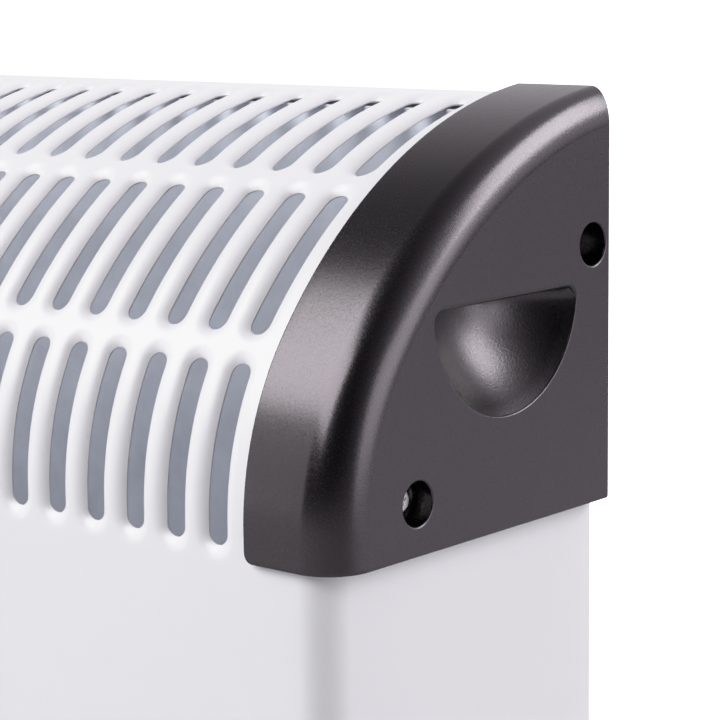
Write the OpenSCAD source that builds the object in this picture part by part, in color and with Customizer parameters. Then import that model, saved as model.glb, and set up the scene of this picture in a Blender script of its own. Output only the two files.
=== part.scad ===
// Fan convector heater: steel casing with moulded end caps, controls in the right end, on two feet.
// The origin is on the floor at the middle of the footprint. The front faces -Y, the controls +X.

/* [Outlet grille] */
// Number of slot columns along the top
slot_columns = 35; // [31:2:39]
// Distance between slot columns
slot_pitch = 15; // [14.5:0.5:16]
// Width of a slot
slot_w = 6.5; // [5.5:0.5:7.5]
// Length of a slot, measured round the curve
slot_l = 48.6; // [44:0.2:50]
// Distance from the start of one row of slots to the start of the next
row_pitch = 57.1; // [56:0.1:57.5]
// Height of the lowest slots above the bottom edge of the end caps
first_slot = 2.1; // [1:0.1:4]

/* [Casing] */
// Distance from the last slot column to the outer face of an end cap
slot_to_end = 43.4; // [43:0.1:50]
// Depth of the casing, front to back
case_depth = 113.7; // [113:0.1:115]
// Height of the gap under the casing
case_z = 35; // [33:1:38]
// Height of the bottom edge of the end caps above the floor
cap_z = 276; // [270:1:330]
// Height of the flat front above the bottom edge of the end caps
flat_above = 7.8; // [7:0.1:9]
// Radius of the lower part of the casing's curve
lower_r = 78.7; // [78:0.1:79.5]
// Radius of the upper part of the casing's curve
upper_r = 145.5; // [145:0.1:146]
// Outer radius of the casing's vertical corners
corner_r = 9.5; // [8:0.5:11]
// Thickness of the painted sheet
sheet = 0.8; // [0.7:0.1:1]

/* [End caps] */
// Width of the band that wraps over the casing
cap_band = 31; // [28:0.5:33]
// Distance of the band's outer face from the casing
cap_proud = 2.25; // [2.2:0.05:2.5]
// Distance of the cap's end face from the casing's end
cap_end_proud = 5.7; // [5.5:0.1:6]
// Radius between the band and the end face
cap_blend = 12; // [11:0.5:12.5]
// Wall thickness of the moulding
cap_wall = 2; // [1.8:0.1:2.1]
// Radius of the hand recess where it meets the end face
recess_r = 30.6; // [28:0.1:31]
// Depth of the hand recess
recess_depth = 17; // [15:1:21]

/* [Controls] */
// Height of the middle of the control panel
panel_z = 128; // [120:1:140]
// Radius of the thermostat knob
knob_r = 18; // [15:0.5:20]
// Angle that a rocker turns through
rocker_throw = 24; // [16:1:24]

/* [Feet] */
// Length of a foot, front to back
foot_l = 200; // [190:1:220]
// Distance of each foot from the middle
foot_x = 205; // [190:1:215]

/* [Fan] */
// Radius of the fan impeller
fan_r = 40; // [36:0.5:41]
// Number of fan blades
fan_blades = 7; // [5:1:9]

/* [Hidden] */
$fn = 48;
round_fn = 180;         // for the casing's large curves
eps = 1;                // how far a cutter runs past what it cuts
gap = 0.15;             // clearance between fixed sheet parts

// Casing
half_l = (slot_columns - 1) * slot_pitch / 2 + slot_to_end;
end_x = half_l - cap_end_proud;
rear_y = round(case_depth / 2);
front_y = rear_y - case_depth;
lower_turn = atan2(3, 4);  // a 3-4-5 triangle, so that the two curves meet on round numbers
lower_c = [front_y + lower_r, cap_z + flat_above];
upper_c = lower_c + (upper_r - lower_r) * [0.8, -0.6];
lower_l = lower_r * lower_turn * PI / 180;
top_z = upper_c[1] + sqrt(pow(upper_r, 2) - pow(upper_c[0] - rear_y, 2));
flat_half = end_x - corner_r;
wrap_top = cap_z + 3;   // the full-width ends of the shell stop just inside the caps
lip = 14;               // width of the shell's rear lips
end_step = 3.5;         // how far the shell's end is set in under the cap
plate_x = end_x - end_step;
plate_inset = 8;
panel_sheet = 0.8;      // thickness of the unpainted sheet parts
rear_panel_y = rear_y - sheet - gap;
rear_half = half_l - 14;
rear_panel_in = rear_panel_y - panel_sheet;
bracket_flange = 15;    // reach of the brackets that hold the caps' rear screws
hang_x = 170;           // keyholes for hanging on a wall
hang_z = 300;
keyhole_entry_r = 4.5;
keyhole_slot_r = 2.3;
tray_back = rear_panel_in - gap;
tray_h = 12;
inlet_pitch = 14;

// End cap details, as [distance in front of the rear plane, height above the cap's bottom edge]
cap_in_x = half_l - cap_band;
recess_at = [rear_y - 46.4, cap_z + 61.3];
recess_sphere = (pow(recess_r, 2) + pow(recess_depth, 2)) / (2 * recess_depth);
front_screw = [rear_y - 84.3, cap_z + 13.8];
rear_screw = [rear_y - 8, cap_z + 71.9];
screw_well_r = 5.9;
well_floor = 2;
screw_r = 1.75;
screw_hole_r = 1.85;
head_r = 3.3;
head_h = 2;
cross_l = 3.6;          // the cross in a screw's head
cross_w = 0.7;
cross_d = 1.2;

// Controls
panel_y = 4;
panel_w = 64;
panel_h = 122;
panel_rim = 1.8;
tub_w = 55;
tub_h = 107;
tub_depth = 12;
tub_wall = 2;
tub_floor_x = end_x - tub_depth + tub_wall;
tub_back_x = end_x - tub_depth;
knob_at = [panel_y, panel_z + 22];
knob_h = 14;
knob_x = tub_floor_x + 0.6;
shaft_r = 3;
running = 0.06;         // radial clearance of a shaft in its bearing
rocker_z = panel_z - 30;
rocker_step = 17.5;
rocker_r = 8.5;
rocker_w = 10.3;
rocker_pivot_x = tub_floor_x + 0.6;
trunnion_r = 1.2;
housing_l = 19.2;
housing_w = 13;
housing_depth = 14;
bezel = 2;

// Feet
foot_w = 46;
pad_r = 8;
pad_h = 3;
pad_y = foot_l / 2 - 12;
foot_screw_y = 32;
foot_well = 20;         // depth of the counterbore for a foot's screw
foot_land = 24;         // length of the part that stands on a pad
foot_arch = 9;          // height of the underside between the pads
foot_nose = 10;         // height of a foot's rounded end
foot_top = 56;          // half length of the face under the casing

// Heat shield and elements
shield_y = rear_y - 12;
shield_half = half_l - 20;
shield_z = 70;
shield_top = upper_c[1] + sqrt(pow(upper_r - sheet, 2) - pow(upper_c[0] - shield_y, 2)) - 2;
element_z = 136;
element_y = -6;
element_half = 236;
card_count = 9;
card_w = 66;
card_h = 40;
card_t = 1;
rail = 8;               // height and width of the frame's rails
bushing_l = 8;
coil_r = 4;
coil_hole_r = 5.5;
coil_y = 17;            // offset of the coil runs from the middle of the cards
coil_z = 10;

// Fan and motor
guard_r = 44;
fan_z = 44;
fan_h = 16;
hub_r = 12;
fan_shaft_r = 2;
bracket_z = 68;
motor_z = 82;
stack_h = 16;
stack_x = 56;
stack_y = 44;
rotor_r = 14;
rotor_gap = 0.4;
motor_screw = [16, 18]; // places of the two motor screws, as [x, y] and [x, -y]
bridge_h = 9.2;
fan_shaft_low = 43;
fan_shaft_high = 112;
bracket_x = 52;         // feet of the fan's bracket
bracket_y = 38;
bracket_half = 46;      // half width of the bracket's square top
vent_r = 9;             // round openings in that top
vent_ring = 28;

// Mains inlet
cord_at = [258, 62];
cord_r = 3.6;
bushing_r = 6;
terminal_at = [225, 10];

// Unit vector at an angle above -Y, in the Y-Z plane.
function ray(a) = [-cos(a), sin(a)];

// Point on the casing's outline at a distance round it from the caps' bottom edge, as [y, z].
function outline_point(s) =
    s <= flat_above ? [front_y, cap_z + s] :
    s <= flat_above + lower_l ? lower_c + lower_r * ray((s - flat_above) / lower_r * 180 / PI) :
    upper_c + upper_r * ray(lower_turn + (s - flat_above - lower_l) / upper_r * 180 / PI);

// Draws a Y-Z outline as a bar along X between two places.
module bar_x(from, to) {
    translate([from, 0, 0]) rotate([90, 0, 90]) linear_extrude(to - from) children();
}

// A round bar along X, starting at x, about the line through at = [y, z].
module rod_x(x, at, r, l) {
    translate([x, at[0], at[1]]) rotate([0, 90, 0]) cylinder(r = r, h = l);
}

// A box given by its lowest corner and its highest corner.
module block(low, high) {
    translate(low) cube(high - low);
}

// The same thing at both ends of the heater.
module both_ends() {
    children();
    mirror([1, 0, 0]) children();
}

// Wedge of a disc between two angles above -Y.
module sector(c, r, from, to) {
    intersection() {
        translate(c) circle(r, $fn = round_fn);
        wedge(c, r, from, to);
    }
}

module wedge(c, r, from, to) {
    polygon([c, c + 2 * r * ray(from), c + 2 * r * ray((from + to) / 2), c + 2 * r * ray(to)]);
}

module arc_band(c, r, t, from, to) {
    difference() {
        sector(c, r, from, to);
        translate(c) circle(r - t, $fn = round_fn);
    }
}

// Plan of the casing, open or closed at back, shrunk by inset.
module plan(inset, back) {
    side = end_x - corner_r;
    for (s = [-1, 1]) {
        translate([s * side, front_y + corner_r]) circle(corner_r - inset);
    }
    translate([-side, front_y + inset]) square([2 * side, corner_r - inset]);
    translate([-end_x + inset, front_y + corner_r])
        square([2 * (end_x - inset), back - front_y - corner_r]);
}

// Side view of the upper casing as a filled shape, shrunk by inset, from the height low to the top.
module side_view(inset, low, back) {
    translate([front_y + inset, low]) square([back - front_y - inset, lower_c[1] - low]);
    sector(lower_c, lower_r - inset, 0, lower_turn);
    intersection() {
        sector(upper_c, upper_r - inset, lower_turn, 90);
        translate([front_y, low]) square([back - front_y, upper_r]);
    }
}

// Side view of the sheet that makes the front and the curved top.
module shell_sheet() {
    translate([front_y, case_z]) square([sheet, lower_c[1] - case_z]);
    arc_band(lower_c, lower_r, sheet, 0, lower_turn);
    intersection() {
        arc_band(upper_c, upper_r, sheet, lower_turn, 90);
        translate([front_y, cap_z]) square([case_depth, upper_r]);
    }
    translate([rear_y - sheet, top_z - lip]) square([sheet, lip - sheet / 2]);
}

// A slot with round ends along Y.
module slot(w, l) {
    square([w, l - w], center = true);
    for (s = [-1, 1]) {
        translate([0, s * (l - w) / 2]) circle(w / 2, $fn = 24);
    }
}

module grille_slots() {
    for (row = [0:2], column = [0:slot_columns - 1]) {
        start = outline_point(first_slot + row * row_pitch);
        end = outline_point(first_slot + row * row_pitch + slot_l);
        across = end - start;
        middle = (start + end) / 2;
        translate([(column - (slot_columns - 1) / 2) * slot_pitch, middle[0], middle[1]])
            rotate([atan2(across[1], across[0]), 0, 0])
            linear_extrude(20, center = true) slot(slot_w, norm(across));
    }
}

// The part of the shell's right end that is set in under the cap.
module shell_end_plate() {
    plate_back = rear_y - cap_wall - 2 * gap;
    bar_x(plate_x - sheet, plate_x) difference() {
        side_view(plate_inset, wrap_top - sheet, plate_back);
        translate(recess_at - [recess_r, recess_r]) square([2 * recess_r, recess_r + cap_wall + 2]);
        translate(rear_screw - [10, 10]) square([30, 20]);
        translate(front_screw) circle(screw_hole_r);
    }
    block([plate_x - sheet, front_y + corner_r, wrap_top - sheet], [end_x, rear_y, wrap_top]);
}

module front_shell() {
    color("white") difference() {
        union() {
            translate([0, 0, case_z]) linear_extrude(wrap_top - case_z) difference() {
                plan(0, rear_y);
                plan(sheet, rear_y + eps);
            }
            bar_x(-flat_half, flat_half) shell_sheet();
            both_ends() {
                shell_end_plate();
                block([end_x - lip, rear_y - sheet, case_z], [end_x, rear_y, wrap_top]);
            }
        }
        grille_slots();
        block(
            [end_x - 3, panel_y - tub_w / 2 - gap, panel_z - tub_h / 2 - gap],
            [end_x + eps, panel_y + tub_w / 2 + gap, panel_z + tub_h / 2 + gap]
        );
        for (at = control_screw_places()) {
            rod_x(end_x - 3, at, screw_hole_r, 5);
        }
        for (at = rear_screw_places()) {
            translate([at[0], rear_y + eps, at[1]]) rotate([90, 0, 0])
                cylinder(r = screw_hole_r, h = 4);
        }
    }
}

function rear_screw_places() = concat(
    [for (x = [-1, 0, 1]) [x * half_l * 0.7, top_z - 7]],
    [for (s = [-1, 1], z = [case_z + 40, cap_z - 40]) [s * (rear_half - 6), z]]
);

function control_screw_places() = [for (s = [-1, 1]) [panel_y, panel_z + s * (panel_h / 2 - 3.6)]];

module keyhole() {
    translate([0, -4]) circle(keyhole_entry_r);
    translate([-keyhole_slot_r, -4]) square([2 * keyhole_slot_r, 12]);
    translate([0, 8]) circle(keyhole_slot_r);
}

module rear_panel() {
    color("gainsboro") difference() {
        block([-rear_half, rear_panel_in, case_z + 1], [rear_half, rear_panel_y, top_z - 2]);
        for (s = [-1, 1]) {
            translate([s * hang_x, rear_y, hang_z]) rotate([90, 0, 0]) linear_extrude(5) keyhole();
        }
        for (at = rear_screw_places()) {
            translate([at[0], rear_y + eps, at[1]]) rotate([90, 0, 0])
                cylinder(r = screw_hole_r, h = 5);
        }
        for (at = spacer_places()) {
            translate([at[0], rear_y + eps, at[1]]) rotate([90, 0, 0])
                cylinder(r = screw_hole_r, h = 5);
        }
        translate([cord_at[0], rear_y + eps, cord_at[1]]) rotate([90, 0, 0])
            cylinder(r = bushing_r + 0.1, h = 5);
    }
}

// Angle brackets inside the rear panel that take the end caps' rear screws.
module cap_brackets() {
    half_h = 20;
    color("lightsteelblue") both_ends() difference() {
        union() {
            block(
                [rear_half - panel_sheet, rear_panel_in - bracket_flange, rear_screw[1] - half_h],
                [rear_half, rear_panel_in, rear_screw[1] + half_h]
            );
            block(
                [rear_half - bracket_flange, rear_panel_in - panel_sheet, rear_screw[1] - half_h],
                [rear_half, rear_panel_in, rear_screw[1] + half_h]
            );
        }
        rod_x(rear_half - 3, rear_screw, screw_hole_r, 6);
    }
}

// Round-headed screw standing on z = 0, its shank pointing down.
module screw(shank) {
    difference() {
        union() {
            cylinder(r = head_r, h = head_h);
            translate([0, 0, -shank]) cylinder(r = screw_r, h = shank + 0.5);
        }
        for (turn = [0, 90]) {
            rotate(turn) translate([-cross_l / 2, -cross_w / 2, head_h - cross_d])
                cube([cross_l, cross_w, 2]);
        }
    }
}

module rear_panel_screws() {
    color("silver") for (at = rear_screw_places()) {
        translate([at[0], rear_y, at[1]]) rotate([-90, 0, 0]) screw(7);
    }
}

module bottom_panel() {
    tray_inset = sheet + gap;
    color("gainsboro") difference() {
        translate([0, 0, case_z]) difference() {
            linear_extrude(tray_h) plan(tray_inset, tray_back);
            translate([0, 0, panel_sheet]) linear_extrude(tray_h)
                plan(tray_inset + panel_sheet, tray_back - panel_sheet);
        }
        translate([0, 0, case_z - eps]) linear_extrude(3) inlet_slots();
        translate([0, 0, case_z - eps]) cylinder(r = guard_r - 3, h = 3);
        for (x = [-foot_x, foot_x], y = [-foot_screw_y, foot_screw_y]) {
            translate([x, y, case_z - eps]) cylinder(r = screw_hole_r, h = 3);
        }
        for (x = [-1, 1], y = [-1, 1]) {
            translate([x * bracket_x, y * bracket_y, case_z - eps]) cylinder(r = screw_hole_r, h = 3);
        }
    }
}

inlet_columns = [for (k = [5:18]) if (abs(k * inlet_pitch - foot_x) > foot_w / 2 + 6) k * inlet_pitch];
module inlet_slots() {
    for (s = [-1, 1], x = inlet_columns, y = [-26, 26]) {
        translate([s * x, y]) slot(6, 38);
    }
}

// Filled shape of the right end cap, shrunk by inset on its outer faces.
module cap_form(inset, inner_x, low, back) {
    out_x = half_l - inset;
    blend = cap_blend - inset;
    proud = cap_proud - inset;
    translate([0, 0, low]) linear_extrude(lower_c[1] - low)
        cap_corner(inner_x, out_x, front_y - proud, back, blend);
    cap_turn(lower_c, lower_r + proud, 0, lower_turn, inner_x, out_x, blend);
    intersection() {
        cap_turn(upper_c, upper_r + proud, lower_turn, 90, inner_x, out_x, blend);
        block([inner_x - eps, front_y - 3, low], [half_l + eps, back, top_z + 5]);
    }
}

// Plan of the cap where its front is straight.
module cap_corner(inner_x, out_x, front, back, blend) {
    translate([inner_x, front + blend]) square([out_x - inner_x, back - front - blend]);
    translate([inner_x, front]) square([out_x - blend - inner_x, 2 * blend]);
    translate([out_x - blend, front + blend]) circle(blend);
}

// The cap where it follows one of the casing's curves.
module cap_turn(c, r, from, to, inner_x, out_x, blend) {
    intersection() {
        translate([0, c[0], c[1]]) rotate([0, 90, 0]) rotate_extrude($fn = round_fn) {
            translate([0, inner_x]) square([r - blend, out_x - inner_x]);
            translate([0, inner_x]) square([r, out_x - blend - inner_x]);
            translate([r - blend, out_x - blend]) circle(blend);
        }
        bar_x(inner_x - eps, out_x + eps) wedge(c, r, from, to);
    }
}

// Space inside the right cap, open towards the casing.
module cap_cavity() {
    low = cap_z + cap_wall;
    cap_form(cap_wall, cap_in_x - eps, low, rear_y - cap_wall);
    intersection() {
        cap_form(cap_wall, cap_in_x - eps, low, rear_y + eps);
        block([0, front_y - 5, low - eps], [rear_half + 0.5, rear_y + 2, top_z + 5]);
    }
    translate([0, 0, cap_z - eps]) linear_extrude(cap_wall + 2 * eps) plan(-gap, rear_y + eps);
}

// Half ball for the hand recess; grow adds the moulding's wall.
module recess_ball(grow) {
    intersection() {
        translate([half_l + recess_sphere - recess_depth, recess_at[0], recess_at[1]])
            sphere(recess_sphere + grow, $fn = 96);
        block(
            [half_l - recess_depth - 5, recess_at[0] - 40, recess_at[1] - 40],
            [half_l + (grow > 0 ? -eps : eps), recess_at[0] + 40, recess_at[1] + grow]
        );
    }
}

module end_cap() {
    difference() {
        union() {
            difference() {
                cap_form(0, cap_in_x, cap_z, rear_y);
                cap_cavity();
            }
            rod_x(plate_x, front_screw, screw_well_r + cap_wall, half_l - plate_x - 1);
            rod_x(rear_half, rear_screw, screw_well_r + 1.6, half_l - rear_half - 1);
            recess_ball(cap_wall);
        }
        recess_ball(0);
        rod_x(plate_x + well_floor, front_screw, screw_well_r, 20);
        rod_x(rear_half + well_floor, rear_screw, screw_well_r, 20);
        rod_x(plate_x - eps, front_screw, screw_hole_r, 20);
        rod_x(rear_half - eps, rear_screw, screw_hole_r, 20);
    }
}

module end_cap_right() {
    color("dimgray") end_cap();
}

module end_cap_left() {
    color("dimgray") mirror([1, 0, 0]) end_cap();
}

module end_cap_screws() {
    color("silver") both_ends() {
        translate([plate_x + well_floor, front_screw[0], front_screw[1]]) rotate([0, 90, 0]) screw(9);
        translate([rear_half + well_floor, rear_screw[0], rear_screw[1]]) rotate([0, 90, 0]) screw(9);
    }
}

module foot() {
    half = foot_l / 2;
    arch = half - foot_land - 12;
    difference() {
        bar_x(-foot_w / 2, foot_w / 2) polygon([
            [-half, pad_h], [-half + foot_land, pad_h], [-arch, foot_arch], [arch, foot_arch],
            [half - foot_land, pad_h], [half, pad_h], [half, foot_nose], [half - 6, foot_nose + 5],
            [foot_top + 4, case_z - 4], [foot_top, case_z], [-foot_top, case_z], [-foot_top - 4, case_z - 4],
            [-half + 6, foot_nose + 5], [-half, foot_nose]
        ]);
        for (y = [-foot_screw_y, foot_screw_y]) {
            translate([0, y, 0]) cylinder(r = 5, h = case_z - foot_well + 12);
            translate([0, y, 0]) cylinder(r = screw_hole_r, h = case_z + eps);
        }
        for (s = [-1, 1]) {
            block([s * 10 - 9, -20, 0], [s * 10 + 9, 20, case_z - 3]);
            block([s * 10 - 9, 42, 0], [s * 10 + 9, 58, case_z - 6]);
            block([s * 10 - 9, -58, 0], [s * 10 + 9, -42, case_z - 6]);
        }
    }
}

module foot_right() {
    color("dimgray") translate([foot_x, 0, 0]) foot();
}

module foot_left() {
    color("dimgray") translate([-foot_x, 0, 0]) foot();
}

module foot_pads() {
    color("black") for (x = [-foot_x, foot_x], y = [-pad_y, pad_y]) {
        translate([x, y, 0]) cylinder(r = pad_r, h = pad_h);
    }
}

module foot_screws() {
    color("silver") for (x = [-foot_x, foot_x], y = [-foot_screw_y, foot_screw_y]) {
        translate([x, y, case_z - foot_well + 12]) rotate([180, 0, 0]) screw(14);
    }
}

module rounded_panel(w, h, r) {
    translate([-w / 2 + r, -h / 2]) square([w - 2 * r, h]);
    translate([-w / 2, -h / 2 + r]) square([w, h - 2 * r]);
    for (x = [-1, 1], y = [-1, 1]) {
        translate([x * (w / 2 - r), y * (h / 2 - r)]) circle(r);
    }
}

function rocker_y(k) = panel_y + (k - 1) * rocker_step;

module control_panel() {
    centre = [panel_y, panel_z];
    color("dimgray") difference() {
        union() {
            bar_x(end_x, end_x + panel_rim) translate(centre) rounded_panel(panel_w, panel_h, 6);
            bar_x(tub_back_x, end_x + 0.5) translate(centre) rounded_panel(tub_w, tub_h, 4);
        }
        bar_x(tub_floor_x, end_x + panel_rim + eps) translate(centre)
            rounded_panel(tub_w - 2 * tub_wall, tub_h - 2 * tub_wall, 3);
        rod_x(tub_back_x - eps, knob_at, 5.5, 6);
        for (k = [0:2]) {
            block(
                [tub_back_x - eps, rocker_y(k) - housing_w / 2 - gap, rocker_z - housing_l / 2 - gap],
                [tub_floor_x + eps, rocker_y(k) + housing_w / 2 + gap, rocker_z + housing_l / 2 + gap]
            );
        }
        for (at = control_screw_places()) {
            rod_x(end_x - eps, at, screw_hole_r, 5);
        }
    }
}

module control_panel_screws() {
    color("silver") for (at = control_screw_places()) {
        translate([end_x + panel_rim, at[0], at[1]]) rotate([0, 90, 0]) scale(0.8) screw(9);
    }
}

module thermostat_knob() {
    flutes = 24;
    color("dimgray") difference() {
        union() {
            rod_x(knob_x, knob_at, knob_r, 4);
            rod_x(knob_x + 3, knob_at, knob_r - 3, knob_h - 3);
        }
        for (k = [0:flutes - 1]) {
            a = k * 360 / flutes;
            rod_x(knob_x + 5, knob_at + (knob_r - 2.6) * [cos(a), sin(a)], 1, knob_h);
        }
        rod_x(knob_x - eps, knob_at, shaft_r, knob_h - 2);
        block(
            [knob_x + knob_h - 0.8, knob_at[0] - 0.8, knob_at[1] + 4],
            [knob_x + knob_h + eps, knob_at[0] + 0.8, knob_at[1] + knob_r]
        );
    }
}

module thermostat_shaft() {
    color("silver") rod_x(tub_back_x - 10, knob_at, shaft_r, knob_x + knob_h - 3 - tub_back_x + 10);
}

module thermostat_body() {
    body_depth = 14;
    color("tan") difference() {
        union() {
            block(
                [tub_back_x - body_depth, knob_at[0] - 17, knob_at[1] - 14],
                [tub_back_x, knob_at[0] + 17, knob_at[1] + 14]
            );
            rod_x(tub_back_x - 2, knob_at, 5, 3.6);
            for (y = [-10, 0, 10]) {
                block(
                    [tub_back_x - body_depth - 8, knob_at[0] + y - 3, knob_at[1] - 10],
                    [tub_back_x - body_depth + 1, knob_at[0] + y + 3, knob_at[1] - 9.2]
                );
            }
        }
        rod_x(tub_back_x - 11, knob_at, shaft_r + running, 20);
    }
}

// Rocker about its own pivot: X out of the panel, Z along its length, with its pins along Y.
module rocker_form() {
    intersection() {
        rotate([90, 0, 0]) cylinder(r = rocker_r, h = rocker_w, center = true);
        translate([0, rocker_w / 2 + eps, 0]) rotate([90, 0, 0]) linear_extrude(rocker_w + 2 * eps)
            polygon([[-4, -9], [4, -9], [4, -7.2], [2.6, 0], [4, 7.2], [4, 9], [-4, 9]]);
    }
    rotate([90, 0, 0]) cylinder(r = trunnion_r, h = housing_w - 0.8, center = true);
}

module rocker(k) {
    color("black") translate([rocker_pivot_x, rocker_y(k), rocker_z])
        rotate([0, rocker_throw / 2, 0]) rocker_form();
}

module rocker_housing(k) {
    inner_l = 2 * rocker_r + 0.9;
    inner_w = rocker_w + 0.7;
    color("dimgray") translate([tub_floor_x, rocker_y(k), rocker_z]) difference() {
        union() {
            block([0, -housing_w / 2 - 1, -housing_l / 2 - 1], [bezel, housing_w / 2 + 1, housing_l / 2 + 1]);
            block([-housing_depth, -housing_w / 2, -housing_l / 2], [1, housing_w / 2, housing_l / 2]);
        }
        block([1.5 - housing_depth, -inner_w / 2, -inner_l / 2], [bezel + eps, inner_w / 2, inner_l / 2]);
        translate([rocker_pivot_x - tub_floor_x, 0, 0]) rotate([90, 0, 0])
            cylinder(r = trunnion_r + running, h = housing_w, center = true);
    }
}

module low_heat_rocker() {
    rocker(0);
}

module high_heat_rocker() {
    rocker(1);
}

module fan_rocker() {
    rocker(2);
}

module low_heat_switch() {
    rocker_housing(0);
}

module high_heat_switch() {
    rocker_housing(1);
}

module fan_switch() {
    rocker_housing(2);
}

module switch_terminals() {
    back = tub_floor_x - housing_depth;
    color("gold") for (k = [0:2], z = [-5, 2]) {
        block([back - 8, rocker_y(k) - 2.4, rocker_z + z], [back, rocker_y(k) + 2.4, rocker_z + z + 0.8]);
    }
}

function spacer_places() = [for (x = [-1, 1], z = [shield_z + 30, cap_z + 40]) [x * 220, z]];

module heat_shield() {
    color("slategray") difference() {
        union() {
            block([-shield_half, shield_y - panel_sheet, shield_z], [shield_half, shield_y, shield_top]);
            block(
                [-shield_half, shield_y - panel_sheet, shield_z],
                [shield_half, shield_y + 8, shield_z + panel_sheet]
            );
        }
        for (at = spacer_places()) {
            translate([at[0], shield_y + eps, at[1]]) rotate([90, 0, 0])
                cylinder(r = screw_hole_r, h = 4);
        }
    }
}

module shield_spacers() {
    l = rear_panel_in - shield_y;
    color("silver") for (at = spacer_places()) {
        translate([at[0], shield_y + l, at[1]]) rotate([90, 0, 0]) difference() {
            cylinder(r = 4, h = l);
            translate([0, 0, -eps]) cylinder(r = screw_hole_r, h = l + 2 * eps);
        }
    }
}

function card_x(k) = (k - (card_count - 1) / 2) * 2 * (element_half - 30) / (card_count - 1);

// The four places where the coils pass through a card: upper pair low heat, lower pair high heat.
function coil_places() = [
    for (z = [1, -1], y = [-1, 1]) [element_y + y * coil_y, element_z + z * coil_z]
];

module element_frame() {
    y0 = element_y - card_w / 2 - 1.2;
    y1 = element_y + card_w / 2 + 1.2;
    z0 = element_z - card_h / 2;
    color("lightsteelblue") {
        for (side = [[y0, -1], [y1, 1]]) {
            translate([0, side[0], 0]) scale([1, -side[1], 1]) rail_form(z0);
        }
        both_ends() block([element_half, y0 - 0.5, z0 - 1], [element_half + 1, y1 + 0.5, z0 + card_h + 2]);
    }
}

module rail_form(z0) {
    block([-element_half, -0.5, z0 - 1], [element_half, 0.5, z0 + rail]);
    block([-element_half, -0.5, z0 - 1], [element_half, rail, z0]);
}

module element_brackets() {
    color("lightsteelblue") both_ends() {
        block(
            [element_half + 1, element_y - 20, element_z - 12],
            [element_half + 2, shield_y - panel_sheet, element_z + 12]
        );
        block(
            [element_half + 1, shield_y - panel_sheet - 1, element_z - 12],
            [element_half + 14, shield_y - panel_sheet, element_z + 12]
        );
    }
}

module mica_cards() {
    color("wheat") for (k = [0:card_count - 1]) {
        bar_x(card_x(k) - card_t / 2, card_x(k) + card_t / 2) difference() {
            translate([element_y - card_w / 2, element_z - card_h / 2]) square([card_w, card_h]);
            for (at = coil_places()) {
                translate(at) circle(coil_hole_r + 0.02);
            }
        }
    }
}

module ceramic_bushings() {
    color("ivory") for (k = [0:card_count - 1], at = coil_places()) {
        difference() {
            union() {
                rod_x(card_x(k) - bushing_l / 2, at, coil_hole_r, bushing_l);
                rod_x(card_x(k) + card_t / 2, at, coil_hole_r + 1.5, 1.5);
            }
            rod_x(card_x(k) - bushing_l / 2 - eps, at, coil_r + 0.2, bushing_l + 2 * eps);
        }
    }
}

// Envelope of one coil: two runs and the turn that joins them at the left end.
module coil_form(z) {
    run_half = element_half - 24;
    for (s = [-1, 1]) {
        rod_x(-run_half, [element_y + s * coil_y, z], coil_r, 2 * run_half);
    }
    translate([-run_half, element_y, z]) intersection() {
        rotate_extrude() translate([coil_y, 0]) circle(coil_r);
        translate([-50, -50, -10]) cube([50, 100, 20]);
    }
}

module low_heat_coil() {
    color("gray") coil_form(element_z + coil_z);
}

module high_heat_coil() {
    color("gray") coil_form(element_z - coil_z);
}

module thermal_cutout() {
    x = 120;
    z = element_z + card_h / 2 + 14;
    color("silver") {
        block([x - 8, shield_y - panel_sheet - 1, z - 10], [x + 8, shield_y - panel_sheet, z + 10]);
        block([x - 8, shield_y - 34, z - 1], [x + 8, shield_y - panel_sheet, z]);
        translate([x, shield_y - 24, z]) cylinder(r = 7, h = 7);
        for (s = [-1, 1]) {
            block([x + s * 4 - 1.5, shield_y - 24.4, z + 6], [x + s * 4 + 1.5, shield_y - 23.6, z + 14]);
        }
    }
}

module fan_impeller() {
    color("dimgray") difference() {
        union() {
            translate([0, 0, fan_z]) cylinder(r = hub_r, h = fan_h);
            intersection() {
                translate([0, 0, fan_z]) cylinder(r = fan_r, h = fan_h);
                for (k = [0:fan_blades - 1]) {
                    rotate(k * 360 / fan_blades) translate([0, 0, fan_z + fan_h / 2])
                        rotate([38, 0, 0]) translate([hub_r - 3, -14, -0.8]) cube([fan_r, 28, 1.6]);
                }
            }
        }
        translate([0, 0, fan_z - eps]) cylinder(r = fan_shaft_r, h = fan_h + 2 * eps);
    }
}

module fan_shaft() {
    color("silver") translate([0, 0, fan_shaft_low])
        cylinder(r = fan_shaft_r, h = fan_shaft_high - fan_shaft_low);
}

module motor_rotor() {
    color("gray") translate([0, 0, motor_z - 1]) difference() {
        cylinder(r = rotor_r, h = stack_h + 2);
        translate([0, 0, -eps]) cylinder(r = fan_shaft_r, h = stack_h + 4);
    }
}

module motor_stator() {
    color("gray") translate([0, 0, motor_z]) linear_extrude(stack_h) difference() {
        translate([-stack_x + 22, -stack_y / 2]) square([stack_x, stack_y]);
        circle(rotor_r + rotor_gap);
        translate([-27, -14]) square([8, 28]);
        for (y = [-1, 1]) {
            translate([motor_screw[0], y * motor_screw[1]]) circle(screw_hole_r);
        }
    }
}

module motor_coil() {
    color("firebrick") translate([0, 0, motor_z + stack_h / 2]) difference() {
        block([-42, -13, -14], [-20.5, 13, 14]);
        block([-34.3, -15, -stack_h / 2 - 0.2], [-26.8, 15, stack_h / 2 + 0.2]);
    }
}

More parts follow.
